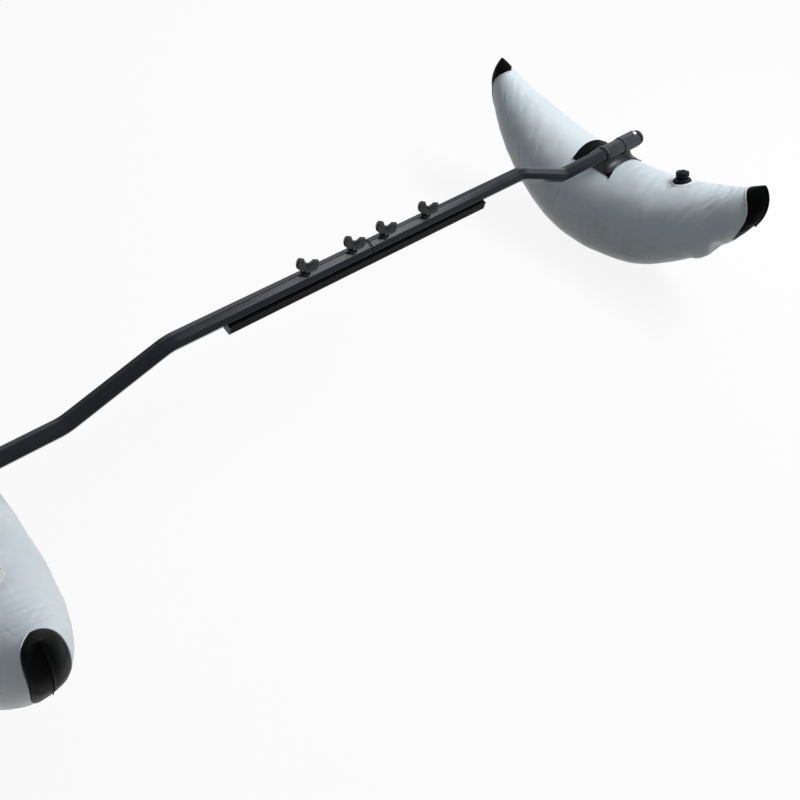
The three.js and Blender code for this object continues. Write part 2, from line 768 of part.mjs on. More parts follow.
function foot() {
  const top = ARM_AXIS_Z - ARM_FLATS / 4;
  const rimTop = 2 * SEAT_GAP + PATCH_THICKNESS + FOOT_RIM;
  const web = ARM_FLATS / 2 - ARM_WALL;
  const webEnds = [SOCKET_OUTBOARD - 2 * WEB_SETBACK, SOCKET_INBOARD - WEB_SETBACK, web, web];
  const end = PATCH_LENGTH / 2 - PATCH_BORDER;
  const edges = [end, end, FOOT_BACK, PATCH_FRONT - PATCH_BORDER];
  const rings = Array.from({ length: FOOT_LEVELS + 1 }, (_, i) => {
    const drop = i / FOOT_LEVELS;
    const reach = webEnds.map((from, k) => THREE.MathUtils.lerp(from, edges[k], drop ** FLARE_POWER));
    return squaredOutline(...reach).map(({ x, y }) => (
      new THREE.Vector3(x, y, THREE.MathUtils.lerp(top, topAt(x, y) + rimTop, drop))
    ));
  });
  const sunk = rings[FOOT_LEVELS].map(({ x, y }) => new THREE.Vector3(x, y, topAt(x, y) - CUT_OVERRUN));
  return loft([...rings, sunk]);
}

function socket() {
  const bore = loft(ringsAlong(
    [new THREE.Vector2(SOCKET_START - CUT_OVERRUN, 0), new THREE.Vector2(SOCKET_END + CUT_OVERRUN, 0)],
    octagon(ARM_FLATS + 2 * SLIDE_CLEARANCE),
  ));
  const cutters = [bore, buttonHole(cornerReach(SOCKET_STEPPED_FLATS))].map((cutter) => cutter.applyMatrix4(armFrame));
  const body = joinAll(sleeve().applyMatrix4(armFrame), foot());
  return cutAll(body, ...cutters, floatBody(2 * SEAT_GAP + PATCH_THICKNESS));
}

// The patch under the foot: its front and side edges bow in between pointed corners, its back edge out.
function footPatch() {
  const half = PATCH_LENGTH / 2;
  const shape = new THREE.Shape();
  shape.moveTo(-half, -PATCH_FRONT);
  shape.quadraticCurveTo(0, 2 * PATCH_BOW - PATCH_FRONT, half, -PATCH_FRONT);
  shape.quadraticCurveTo(half - PATCH_BOW, 0, half, PATCH_BACK);
  shape.quadraticCurveTo(0, PATCH_BACK + PATCH_BOW, -half, PATCH_BACK);
  shape.quadraticCurveTo(PATCH_BOW - half, 0, -half, -PATCH_FRONT);
  const curveSegments = 8;
  const prism = new THREE.ExtrudeGeometry(shape, { depth: FLOAT_CREST, bevelEnabled: false, curveSegments });
  prism.translate(FLOAT_X, -ARM_FORWARD, FLOAT_CREST / 2);
  const skin = toSolid(floatBody(SEAT_GAP + PATCH_THICKNESS)).subtract(toSolid(floatBody(SEAT_GAP)));
  return toGeometry(skin.intersect(toSolid(prism)));
}

// The valve stands square on the float's crest, which slopes there.
const valveShare = -VALVE_OFFSET / (FLOAT_LENGTH / 2);
const crestSlope = CREST_POWER * (FLOAT_TIP_TOP - FLOAT_CREST) * valveShare / (FLOAT_LENGTH / 2);
const valveFrame = new THREE.Matrix4()
  .makeTranslation(FLOAT_X, -VALVE_OFFSET, crestAt(valveShare))
  .multiply(new THREE.Matrix4().makeRotationX(Math.atan(crestSlope)));
const NECK_RADIUS = VALVE_NECK_DIAMETER / 2;
const NECK_BORE = NECK_RADIUS - VALVE_WALL;
const NECK_TOP = SKIRT_HEIGHT + CAP_TRAVEL + CAP_LAP;
const TETHER_BOTTOM = SKIRT_HEIGHT + SEAT_GAP;
const CAP_BOTTOM = TETHER_BOTTOM + TETHER_THICKNESS + SEAT_GAP;
const CAP_TOP = NECK_TOP + CAP_CROWN;

function weldRing() {
  const inner = VALVE_DIAMETER / 2 + SEAT_GAP;
  const outer = inner + WELD_WIDTH;
  const ring = turned([
    [inner, -VALVE_SINK],
    [outer, -VALVE_SINK],
    [outer, WELD_HEIGHT / 3],
    [outer - WELD_WIDTH / 3, WELD_HEIGHT],
    [inner, WELD_HEIGHT],
    [inner, -VALVE_SINK],
  ]).applyMatrix4(valveFrame);
  return cutAll(ring, floatBody(SEAT_GAP));
}

const skirtShares = [[1, 0.35], [0.94, 0.7], [0.78, 0.92], [0.6, 1]];

function valveBase() {
  const skirt = VALVE_DIAMETER / 2;
  const body = turned([
    [0, -VALVE_SINK],
    [skirt, -VALVE_SINK],
    ...skirtShares.map(([across, up]) => [skirt * across, SKIRT_HEIGHT * up]),
    [NECK_RADIUS, SKIRT_HEIGHT],
    [NECK_RADIUS, NECK_TOP],
    [NECK_BORE, NECK_TOP],
    [NECK_BORE, VALVE_FLOOR],
    [0, VALVE_FLOOR],
  ]).applyMatrix4(valveFrame);
  return cutAll(body, floatBody(SEAT_GAP));
}

// Sprung core inside the neck: a plate on a short stem.
function valveCore() {
  const plate = NECK_BORE - TURN_CLEARANCE;
  const stem = plate / 2;
  const chamfer = VALVE_WALL / 4;
  const top = NECK_TOP - VALVE_WALL / 2;
  const bottom = VALVE_FLOOR + CORE_TRAVEL + TURN_CLEARANCE;
  return turned([
    [0, bottom],
    [stem, bottom],
    [stem, top - VALVE_WALL],
    [plate, top - VALVE_WALL],
    [plate, top - chamfer],
    [stem, top],
    [0, top],
  ], SMALL_SIDES).applyMatrix4(valveFrame);
}

// Screw cap: a ribbed shell over the neck with a grip bar across its top.
function valveCap() {
  const radius = CAP_DIAMETER / 2;
  const inner = NECK_RADIUS + TURN_CLEARANCE;
  const edge = 2;
  const shell = turned([
    [inner, CAP_BOTTOM],
    [radius - edge / 2, CAP_BOTTOM],
    [radius, CAP_BOTTOM + edge / 2],
    [radius, CAP_TOP - 2 * edge],
    [radius - edge, CAP_TOP - edge / 2],
    [radius - 2 * edge, CAP_TOP],
    [0, CAP_TOP],
    [0, NECK_TOP + TURN_CLEARANCE],
    [inner, NECK_TOP + TURN_CLEARANCE],
    [inner, CAP_BOTTOM],
  ]);
  const ribCount = 6;
  const ribReach = radius + edge;
  const ribHalf = 2.5;
  const ribBottom = CAP_BOTTOM + edge;
  const ribs = Array.from({ length: ribCount }, (_, i) => {
    const section = new THREE.Shape([
      new THREE.Vector2(inner + edge / 2, -ribHalf),
      new THREE.Vector2(ribReach, -ribHalf),
      new THREE.Vector2(ribReach + edge / 4, 0),
      new THREE.Vector2(ribReach, ribHalf),
      new THREE.Vector2(inner + edge / 2, ribHalf),
    ]);
    const rib = new THREE.ExtrudeGeometry(section, { depth: CAP_TOP - 2 * edge - ribBottom, bevelEnabled: false });
    return rib.translate(0, 0, ribBottom).rotateZ(i * 2 * Math.PI / ribCount);
  });
  const bar = new THREE.BoxGeometry(CAP_DIAMETER - 3 * edge, 2 * edge, 2 * edge).translate(0, 0, CAP_TOP);
  return joinAll(shell, ...ribs, bar).applyMatrix4(valveFrame);
}

// Tether: a loose ring round the neck under the cap, with a strap bent down to the weld ring.
function valveTether() {
  const inner = NECK_RADIUS + TURN_CLEARANCE;
  const outer = CAP_DIAMETER / 2 + TETHER_THICKNESS;
  const ring = turned([
    [inner, TETHER_BOTTOM],
    [outer, TETHER_BOTTOM],
    [outer, TETHER_BOTTOM + TETHER_THICKNESS],
    [inner, TETHER_BOTTOM + TETHER_THICKNESS],
    [inner, TETHER_BOTTOM],
  ]);
  const reach = VALVE_DIAMETER / 2 + WELD_WIDTH / 2;
  const middle = TETHER_BOTTOM + TETHER_THICKNESS / 2;
  const bendSteps = 3;
  const corners = [
    new THREE.Vector2(TETHER_THICKNESS - outer, middle),
    new THREE.Vector2(-reach, middle),
    new THREE.Vector2(-reach, WELD_HEIGHT + SEAT_GAP),
  ];
  const section = rectangle(TETHER_WIDTH, TETHER_THICKNESS);
  const strap = loft(ringsAlong(bentPath(corners, 2 * TETHER_THICKNESS, bendSteps), section));
  return joinAll(ring, strap).applyMatrix4(valveFrame);
}

function buildFrame() {
  const frame = new THREE.Group();
  frame.applyMatrix4(armFrame);
  const railTop = ARM_DROP - AXIS_ON_RAIL;
  const crossbar = new THREE.Group();
  crossbar.position.z = railTop;
  crossbar.add(piece('crossbar_rail', rail(), 'rail'));
  const cap = railCap();
  const plug = innerPlug();
  const tube = armTube();
  const end = endCap();
  const button = snapButton();
  const spring = snapSpring();
  for (const { name, sign } of SIDES) {
    crossbar.add(piece(`rail_cap_${name}`, mirrored(cap, sign), 'moulded'));
    frame.add(piece(`arm_${name}`, mirrored(tube, sign), 'tube'));
    frame.add(piece(`arm_plug_${name}`, mirrored(plug, sign), 'moulded'));
    frame.add(piece(`arm_end_cap_${name}`, mirrored(end, sign), 'moulded'));
    frame.add(piece(`snap_button_${name}`, mirrored(button, sign), 'steel'));
    frame.add(piece(`snap_spring_${name}`, mirrored(spring, sign), 'steel'));
    for (const [place, x] of [['inner', CLAMP_INNER_X], ['outer', CLAMP_OUTER_X]]) {
      const clamp = new THREE.Group();
      clamp.position.x = sign * x;
      clamp.add(piece(`t_bolt_${name}_${place}`, tBolt(), 'steel'));
      const ring = piece(`clamp_washer_${name}_${place}`, washer(), 'steel');
      ring.position.z = ARM_TOP_ON_RAIL + SEAT_GAP;
      const knob = piece(`clamp_knob_${name}_${place}`, wingKnob(), 'moulded');
      knob.position.z = ARM_TOP_ON_RAIL + 2 * SEAT_GAP + WASHER_THICKNESS;
      clamp.add(ring, knob);
      crossbar.add(clamp);
    }
  }
  frame.add(crossbar);
  return frame;
}

function buildFloats() {
  const floats = new THREE.Group();
  const shapes = [
    ['float', floatBody(), 'skin'],
    ['tip_patch_front', tipPatch(-1), 'patch'],
    ['tip_patch_rear', tipPatch(1), 'patch'],
    ['foot_patch', footPatch(), 'patch'],
    ['socket', socket(), 'moulded'],
    ['valve_weld', weldRing(), 'weld'],
    ['valve_base', valveBase(), 'moulded'],
    ['valve_core', valveCore(), 'moulded'],
    ['valve_tether', valveTether(), 'moulded'],
    ['valve_cap', valveCap(), 'moulded'],
  ];
  for (const { name, sign } of SIDES) {
    for (const [part, geometry, look] of shapes) {
      floats.add(piece(`${part}_${name}`, mirrored(geometry, sign), look));
    }
  }
  return floats;
}

const outrigger = new THREE.Group();
outrigger.add(buildFrame(), buildFloats());
outrigger.updateMatrixWorld(true);

export default outrigger;
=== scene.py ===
import math

import bpy
import numpy as np
from mathutils import Matrix, Vector
from mathutils.geometry import tessellate_polygon


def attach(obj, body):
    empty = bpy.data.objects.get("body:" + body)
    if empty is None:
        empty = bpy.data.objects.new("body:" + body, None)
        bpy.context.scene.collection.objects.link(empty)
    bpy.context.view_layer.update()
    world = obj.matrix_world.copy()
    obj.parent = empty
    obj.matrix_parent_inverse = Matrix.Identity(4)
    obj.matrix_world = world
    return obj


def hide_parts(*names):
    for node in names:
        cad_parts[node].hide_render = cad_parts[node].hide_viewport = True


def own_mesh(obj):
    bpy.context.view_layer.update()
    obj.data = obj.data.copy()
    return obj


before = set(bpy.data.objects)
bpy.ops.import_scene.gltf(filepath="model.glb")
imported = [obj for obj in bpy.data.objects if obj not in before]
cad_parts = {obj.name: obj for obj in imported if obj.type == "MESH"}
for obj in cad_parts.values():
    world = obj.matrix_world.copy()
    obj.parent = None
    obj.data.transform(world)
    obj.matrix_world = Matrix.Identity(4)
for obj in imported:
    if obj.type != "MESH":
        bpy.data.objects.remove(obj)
scene = bpy.context.scene
scene.view_settings.view_transform = "Standard"
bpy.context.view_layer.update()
SIDES = (("left", -1), ("right", 1))


# The view: from above the left arm's outer end, across the crossbar to the right float.

CAMERA_PLACE = Vector((-0.9491, -1.0682, 1.3698))
CAMERA_YAW, CAMERA_PITCH, CAMERA_ROLL = (math.radians(angle) for angle in (44.705, 33.418, 3.904))


def placed(name, data):
    """A new object in the scene."""
    made = bpy.data.objects.new(name, data)
    scene.collection.objects.link(made)
    return made


camera_data = bpy.data.cameras.new("outrigger_camera")
camera_data.sensor_width = 36
camera_data.lens = 45.45
camera_data.shift_x = -0.005
camera_data.shift_y = -0.25
camera_data.clip_start = 0.05
camera_data.clip_end = 60
camera = placed("outrigger_camera", camera_data)
view_ahead = Vector((
    math.sin(CAMERA_YAW) * math.cos(CAMERA_PITCH),
    math.cos(CAMERA_YAW) * math.cos(CAMERA_PITCH),
    -math.sin(CAMERA_PITCH),
))
level_right = Vector((math.cos(CAMERA_YAW), -math.sin(CAMERA_YAW), 0))
level_up = level_right.cross(view_ahead)
view_right = level_right * math.cos(CAMERA_ROLL) + level_up * math.sin(CAMERA_ROLL)
view_up = level_up * math.cos(CAMERA_ROLL) - level_right * math.sin(CAMERA_ROLL)
view_turn = Matrix((view_right, view_up, -view_ahead)).transposed().to_4x4()
camera.matrix_world = Matrix.Translation(CAMERA_PLACE) @ view_turn
scene.camera = camera


# Floor and sky show white to the eye and in reflections.

FLOOR_REACH, FLOOR_DROP = 14, 0.0005
FLOOR_PAINT, FLOOR_SCATTER, FLOOR_GLOW = (0.88, 0.89, 0.9), (0.14, 0.14, 0.13), 0.9
SKY_TINT, SKY_STRENGTH = (0.90, 0.95, 1), 0.16


def feed(tree, piece, inputs):
    """Gives each input of a node a value or a colour, or joins it to another node's output."""
    for label, value in inputs.items():
        socket = piece.inputs[label]
        if isinstance(value, bpy.types.NodeSocket):
            tree.links.new(value, socket)
        else:
            socket.default_value = (*value, 1) if socket.type == "RGBA" else value


def node(tree, kind, place, inputs=None, **settings):
    """A new node at a place of the layout, with its settings made before its inputs are fed."""
    made = tree.nodes.new(kind)
    made.location = place
    for key, value in settings.items():
        setattr(made, key, value)
    feed(tree, made, inputs or {})
    return made


def calculated(tree, operation, place, *values):
    """The result of one operation on numbers or on other nodes' outputs."""
    return node(tree, "ShaderNodeMath", place, dict(enumerate(values)), operation=operation).outputs[0]


def cleared(owner):
    """The emptied node tree of a new world or material."""
    owner.use_nodes = True
    owner.node_tree.nodes.clear()
    return owner.node_tree


def shown_where_seen(tree, output, scattering, seen):
    """One shader for camera, glossy and transmission rays, another for the light that is scattered."""
    rays = node(tree, "ShaderNodeLightPath", (-900, 300))
    direct = rays.outputs["Is Camera Ray"]
    for column, kind in enumerate(("Is Glossy Ray", "Is Transmission Ray")):
        direct = calculated(tree, "MAXIMUM", (200 * column - 700, 300), direct, rays.outputs[kind])
    shaders = {0: direct, 1: scattering.outputs[0], 2: seen.outputs[0]}
    mix = node(tree, "ShaderNodeMixShader", (100, 0), shaders)
    node(tree, output, (300, 0), {0: mix.outputs[0]})


def new_mesh(name, points, faces):
    mesh = bpy.data.meshes.new(name)
    mesh.from_pydata(np.array(points, float).reshape(-1, 3).tolist(), [], [tuple(face) for face in faces])
    return mesh


sky = bpy.data.worlds.new("studio_sky")
sky_tree = cleared(sky)
sky_seen = node(sky_tree, "ShaderNodeBackground", (-300, 100), {"Color": (1, 1, 1)})
sky_light = node(sky_tree, "ShaderNodeBackground", (-300, -100),
                 {"Color": SKY_TINT, "Strength": SKY_STRENGTH})
shown_where_seen(sky_tree, "ShaderNodeOutputWorld", sky_light, sky_seen)
scene.world = sky

floor_corners = [(x * FLOOR_REACH, y * FLOOR_REACH, 0) for x, y in ((-1, -1), (1, -1), (1, 1), (-1, 1))]
floor_mesh = new_mesh("studio_floor", floor_corners, [(0, 1, 2, 3)])
floor = placed("studio_floor", floor_mesh)
floor.location.z = -FLOOR_DROP
floor_paint = bpy.data.materials.new("studio_floor")
floor_tree = cleared(floor_paint)
floor_lit = node(floor_tree, "ShaderNodeBsdfDiffuse", (-300, 100), {"Color": FLOOR_PAINT})
floor_glow = node(floor_tree, "ShaderNodeEmission", (-300, 300))
floor_seen = node(floor_tree, "ShaderNodeMixShader", (-100, 200),
                  {0: FLOOR_GLOW, 1: floor_lit.outputs[0], 2: floor_glow.outputs[0]})
floor_back = node(floor_tree, "ShaderNodeBsdfDiffuse", (-300, -100), {"Color": FLOOR_SCATTER})
shown_where_seen(floor_tree, "ShaderNodeOutputMaterial", floor_back, floor_seen)
floor_mesh.materials.append(floor_paint)


def soft_lamp(name, place, aim, length, width, power, tint):
    lamp_data = bpy.data.lights.new(name, "AREA")
    lamp_data.shape = "RECTANGLE"
    lamp_data.size = length
    lamp_data.size_y = width
    lamp_data.energy = power
    lamp_data.color = tint
    lamp = placed(name, lamp_data)
    lamp.location = place
    lamp.rotation_euler = (Vector(aim) - Vector(place)).to_track_quat("-Z", "Y").to_euler()


soft_lamp("top_lamp", (1.85, -1.05, 2.8), (0.2, 0, 0.2), length=2.2, width=0.8, power=88,
          tint=(1, 0.99, 0.97))
soft_lamp("low_lamp", (0.9, 2.6, 1.5), (0, 0, 0.3), length=2.4, width=0.8, power=9, tint=(0.96, 0.98, 1))


# Each float: an inflated tube of coated fabric, welded from a top panel and two side panels, that
# tapers to an upright edge at both ends. Its concave crest is wrinkled across, more so at the ends.

FLOAT_X = 0.757
HALF_LENGTH = 0.366
FLOAT_WIDTH = 0.209
FLOAT_CREST = 0.232
TIP_TOP = 0.335
TIP_BOTTOM = 0.241
TIP_EDGE = 0.006
TIP_SETBACK, TIP_TUCK, TIP_BULGE, SWEEP_POWER = 0.016, 0.014, 0.002, 10
BELLY_FLAT = 0.003
BELLY_POWER, WIDTH_POWER, WIDTH_ROUNDING, SECTION_POWER = 2.25, 1.7, 0.545, 2.08
TIP_PATCH_LENGTH = 0.038
TIP_BORDER = 1 - TIP_PATCH_LENGTH / HALF_LENGTH
FABRIC = 0.0016
SEAT = 0.0003
MM = 0.001
PATCH_HALF = 0.059
VALVE_Y = -0.178


def crest_at(share):
    return FLOAT_CREST + (TIP_TOP - FLOAT_CREST) * np.abs(share) ** 2


def keel_at(share):
    return -BELLY_FLAT + (TIP_BOTTOM + BELLY_FLAT) * np.abs(share) ** BELLY_POWER


def half_width_at(share):
    swell = np.maximum(0, 1 - np.abs(share) ** WIDTH_POWER) ** WIDTH_ROUNDING
    return (TIP_EDGE + (FLOAT_WIDTH - TIP_EDGE) * swell) / 2


def swollen_circle(turn, power):
    """Places across and up on a unit circle that is swollen towards its four corners."""
    return [np.sign(part) * np.abs(part) ** (2 / power) for part in (np.cos(turn), np.sin(turn))]


def on_float(share, turn, lift=0.0):
    """Points on the right float, by share of its half length and turn round its section."""
    share, turn, lift = np.broadcast_arrays(share, turn, lift)
    top, bottom, half = crest_at(share) + lift, keel_at(share) - lift, half_width_at(share) + lift
    across, up = swollen_circle(turn, SECTION_POWER)
    past = np.maximum(0, (np.abs(share) - TIP_BORDER) / (1 - TIP_BORDER))
    y = share * HALF_LENGTH + np.sign(share) * lift * past
    sweep = np.sign(share) * np.abs(share) ** SWEEP_POWER
    y = y + sweep * (TIP_BULGE - np.where(up > 0, TIP_SETBACK, TIP_TUCK) * up ** 2)
    z = np.maximum((top + bottom) / 2 + up * (top - bottom) / 2, 0)
    return np.stack([FLOAT_X + half * across, y, z], -1)


def top_of_float(x, y):
    """Height of the float's upper surface."""
    share = y / HALF_LENGTH
    aside = np.minimum(np.abs(x - FLOAT_X) / half_width_at(share), 1)
    rise = (crest_at(share) - keel_at(share)) / 2
    return crest_at(share) - rise * (1 - (1 - aside ** SECTION_POWER) ** (1 / SECTION_POWER))


def grid_normals(points):
    """Outward normals of rows of points that each close on themselves."""
    along = np.gradient(points, axis=0)
    around = np.roll(points, -1, 1) - np.roll(points, 1, 1)
    normal = np.cross(along, around)
    return normal / np.maximum(np.linalg.norm(normal, axis=-1, keepdims=True), 1e-12)


def ramp(value, low, high):
    share = np.clip((value - low) / (high - low), 0, 1)
    return share * share * (3 - 2 * share)


def ripples(points, wavelength, seed, count=9):
    """A smooth uneven field from -1 to 1, the same each run."""
    chance = np.random.default_rng(seed)
    total = np.zeros(points.shape[:-1])
    for _ in range(count):
        way = chance.normal(size=3)
        way *= 2 * math.pi / (wavelength * chance.uniform(0.7, 1.5)) / np.linalg.norm(way)
        total += np.sin(points @ way + chance.uniform(0, 2 * math.pi))
    return total / count ** 0.5 / 1.5


# Where the wrinkles across the crest lie: place along the float, middle and half reach across it,
# bow, depth and width, all in millimetres.
WRINKLES = [
    (-206, 22, 40, -9, 1.4, 6.5), (-229, -16, 60, 12, 1.1, 7.0), (-247, -26, 56, 16, 1.8, 7.0),
    (-262, -22, 52, 20, 1.9, 6.0), (-279, -14, 44, 22, 1.5, 5.5), (-294, -20, 38, 18, 1.3, 5.0),
    (-308, -10, 26, 15, 1.0, 4.5), (-163, -34, 40, 10, 1.2, 7.0), (-147, -44, 36, 8, 0.9, 6.0),
    (-122, -30, 44, 8, 0.9, 7.5), (-96, 14, 40, 6, 0.7, 7.0), (-66, -12, 46, 4, 0.5, 6.0),
    (96, 12, 48, -6, 0.6, 7.0), (121, -18, 46, -8, 0.9, 7.5), (139, 14, 40, -9, 0.8, 6.5),
    (166, -14, 50, -10, 0.9, 8.0), (188, 18, 40, -12, 1.1, 7.0), (204, -20, 44, -14, 1.0, 7.0),
    (229, 10, 44, -15, 1.3, 7.5), (246, -18, 36, -16, 1.0, 6.0), (268, 6, 38, -17, 1.3, 6.5),
    (284, -12, 30, -16, 1.0, 5.5), (301, 6, 26, -14, 1.0, 5.0), (314, -4, 20, -12, 0.7, 4.5),
]

# Short creases in the side panels: place along the float, height on the panel as a turn in degrees,
# length and width in millimetres, depth, and slant in degrees.
CREASES = [
    (-196, 94, 15, 2.0, 1.6, 116), (-204, 104, 10, 1.8, 1.3, 118), (-142, 159, 13, 4.5, 1.2, 82),
    (-146, 148, 10, 3.4, 0.8, 60), (-199, 172, 20, 4.4, 1.0, 100), (-232, 152, 26, 5.2, 1.2, 68),
    (-270, 128, 18, 4.4, 1.3, 74), (-293, 112, 12, 4.0, 1.2, 64), (-110, 182, 22, 4.2, 0.9, 95),
    (-60, 168, 26, 5.0, 0.9, 84), (-22, 192, 24, 4.4, 0.8, 100), (60, 174, 24, 4.4, 0.8, 78),
    (110, 162, 20, 4.2, 1.3, 96), (121, 115, 12, 3.2, 0.7, 104), (150, 150, 26, 4.8, 1.0, 104),
    (186, 132, 14, 3.6, 1.2, 84), (210, 126, 12, 3.0, 0.8, 60), (200, 169, 26, 4.4, 1.0, 108),
    (258, 160, 26, 4.0, 1.1, 112), (296, 150, 20, 3.6, 1.0, 118), (-286, 166, 22, 3.6, 1.2, 70),
    (-240, 205, 34, 4.6, 1.2, 92), (-180, 222, 40, 5.0, 1.0, 86), (-284, 226, 24, 3.6, 1.6, 96),
    (-90, 22, 30, 4.2, 1.0, 85), (-200, 18, 36, 4.2, 1.2, 70), (90, 20, 34, 4.4, 1.0, 96),
    (180, 22, 38, 4.4, 1.2, 104), (262, 20, 30, 3.8, 1.2, 112),
]
# The welded seams' turns: two along the top panel and one along the keel.
SEAMS = tuple(math.radians(angle) for angle in (77, 103, 270))
SEAM_CLEARANCE = 0.085
# Slow swells of the whole skin: height in millimetres, length in metres and seed.
SWELLS = ((1.0, 0.15, 3), (0.55, 0.055, 5))
# In millimetres, apart from the turn: the radii that change a turn into a way round the skin, a pucker
# low on the side near the front tip, the lobe behind it, and the foot patch's middle and half length.
SKIN_RADIUS, SEAM_RADIUS, PUCKER_RADIUS = 95, 100, 70
PUCKER_Y, PUCKER_TURN = -304, math.radians(244)
PUCKER_DEPTH, PUCKER_LENGTH, PUCKER_GIRTH = 8.0, 10, 30
LOBE_HEIGHT, LOBE_BEHIND, LOBE_LENGTH = 6.5, 27, 18
PATCH_MIDDLE, PATCH_RUN = 16, 57


def round_float():
    """Turns round the section, close together at the welded seams."""
    even = np.linspace(0, 2 * math.pi, 132, endpoint=False)
    fine = np.array([-7, -4.5, -3, -2, -1.2, -0.5, 0.5, 1.2, 2, 3, 4.5, 7]) / SEAM_RADIUS
    near = np.min(np.abs(even[:, None] - np.array(SEAMS)), axis=1)
    turns = np.concatenate([even[near > SEAM_CLEARANCE], *(seam + fine for seam in SEAMS)])
    return np.sort(turns % (2 * math.pi))


def skin_relief(share, turn, points):
    """How far the skin stands proud of the plain tube, in metres."""
    y = share * HALF_LENGTH / MM
    aside = (points[..., 0] - FLOAT_X) / MM
    relief = sum(height * ripples(points, length, seed) for height, length, seed in SWELLS)
    upper = ramp(np.sin(turn), 0.38, 0.88)
    stray = ripples(points, 0.05, 11)
    for place, middle, reach, bow, depth, width in WRINKLES:
        across = (aside - middle) / reach
        off = y - place - bow * across ** 2 - 1.6 * stray
        fade = np.exp(-across ** 4) * upper * (0.6 if place > 0 else 1.0)
        relief -= depth * fade * np.exp(-(off / width) ** 2)
        swell = np.exp(-((np.abs(off) - 2 * width) / (1.4 * width)) ** 2)
        relief += 0.35 * depth * fade * swell
    for place, angle, length, width, depth, slant in CREASES:
        up = (turn - math.radians(angle)) * SKIN_RADIUS
        lean = math.radians(slant)
        run = (y - place) * math.cos(lean) + up * math.sin(lean)
        off = -(y - place) * math.sin(lean) + up * math.cos(lean) + 1.2 * stray
        near = np.exp(-(run / length) ** 4)
        relief -= 0.95 * depth * near * np.exp(-(off / width) ** 2)
        relief += 0.4 * depth * near * np.exp(-((np.abs(off) - 2.2 * width) / (1.5 * width)) ** 2)
    for seam, step in zip(SEAMS, (0.2, -0.2, 1)):
        off = (turn - seam) * SKIN_RADIUS
        relief += 0.45 * step * np.tanh(off / 1.1) * np.exp(-(off / 9) ** 2)
        relief -= 0.5 * abs(step) * np.exp(-(off / 1.5) ** 2)
    past_pucker = y - PUCKER_Y
    round_pucker = (turn - PUCKER_TURN) * PUCKER_RADIUS / PUCKER_GIRTH
    relief -= PUCKER_DEPTH * np.exp(-(past_pucker / PUCKER_LENGTH) ** 2 - round_pucker ** 2)
    relief += LOBE_HEIGHT * np.exp(-((past_pucker - LOBE_BEHIND) / LOBE_LENGTH) ** 4 - round_pucker ** 2)
    patch = np.maximum(np.abs(aside) - PATCH_HALF / MM, np.abs(y - PATCH_MIDDLE) - PATCH_RUN)
    valve = np.hypot(aside, y - VALVE_Y / MM)
    clear = np.where(np.sin(turn) > 0, ramp(patch, 1, 14) * ramp(valve, 27, 36), 1)
    clear = clear * (1 - ramp(np.abs(share), TIP_BORDER - 0.028, TIP_BORDER - 0.004))
    return relief * clear * MM


def build(name, points, faces, sign, material, body, slot, smooth=True):
    if sign < 0:
        points = np.array(points, float).reshape(-1, 3) * (-1, 1, 1)
        faces = [tuple(reversed(face)) for face in faces]
    mesh = new_mesh(name, points, faces)
    mesh.validate()
    if smooth:
        mesh.shade_smooth()
    mesh.materials.append(material)
    made = placed(name, mesh)
    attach(made, body)
    return made


def lofted(rings, joined=False):
    """Points and faces of a skin over rings, closed by its two end faces or joined round into one loop."""
    rings = np.array(rings, float)
    rows, columns = rings.shape[:2]
    faces = []
    for i in range(rows if joined else rows - 1):
        below, above = i * columns, (i + 1) % rows * columns
        for j in range(columns):
            k = (j + 1) % columns
            faces.append((below + j, above + j, above + k, below + k))
    if not joined:
        faces.append(tuple(range(columns)))
        faces.append(tuple(reversed(range((rows - 1) * columns, rows * columns))))
    return rings.reshape(-1, 3), faces


def principled(name):
    """A new material, its node tree and its Principled shader."""
    made = bpy.data.materials.new(name)
    made.use_nodes = True
    tree = made.node_tree
    return made, tree, tree.nodes["Principled BSDF"]


def effect(name, inputs, outputs):
    """A new shader node group with its named inputs and outputs."""
    group = bpy.data.node_groups.new(name, "ShaderNodeTree")
    for label, value in inputs.items():
        socket = group.interface.new_socket(name=label, in_out="INPUT", socket_type="NodeSocketFloat")
        socket.default_value = value
    for label in outputs:
        group.interface.new_socket(name=label, in_out="OUTPUT", socket_type="NodeSocketFloat")
    start = node(group, "NodeGroupInput", (-1000, 0))
    end = node(group, "NodeGroupOutput", (800, 0))
    return group, start, end


def place_effect(tree, group, place, **values):
    """One use of an effect in a material."""
    return node(tree, "ShaderNodeGroup", place, values, node_tree=group)


def mesh_place(tree, place):
    return node(tree, "ShaderNodeTexCoord", place).outputs["Object"]


def noise(tree, place, **inputs):
    return node(tree, "ShaderNodeTexNoise", place, inputs).outputs["Fac"]


# Coated weave: two crossed sets of threads that press through the coating, with uneven tone.
weave, weave_in, weave_out = effect("coated_weave", {"Pitch": 900.0, "Mottle": 6.0}, ["Height", "Tone"])
weave_place = mesh_place(weave, (-1000, 300))
split = node(weave, "ShaderNodeSeparateXYZ", (-800, 300), {0: weave_place})
girth = calculated(weave, "ADD", (-600, 200), split.outputs["X"], split.outputs["Z"])
threads = []
for row, source in enumerate((split.outputs["Y"], girth)):
    paced = calculated(weave, "MULTIPLY", (-400, 200 - 200 * row), source, weave_in.outputs["Pitch"])
    threads.append(calculated(weave, "SINE", (-200, 200 - 200 * row), paced))
mottle = noise(weave, (0, -200), Vector=weave_place, Scale=weave_in.outputs["Mottle"], Detail=5,
               Roughness=0.55)
feed(weave, weave_out, {"Height": calculated(weave, "MULTIPLY", (0, 100), *threads), "Tone": mottle})


def mapped(tree, source, place, low, high, start=0.0, end=1.0):
    """A value carried from one range to another."""
    return node(tree, "ShaderNodeMapRange", place, {
        "Value": source, "From Min": start, "From Max": end, "To Min": low, "To Max": high}).outputs["Result"]


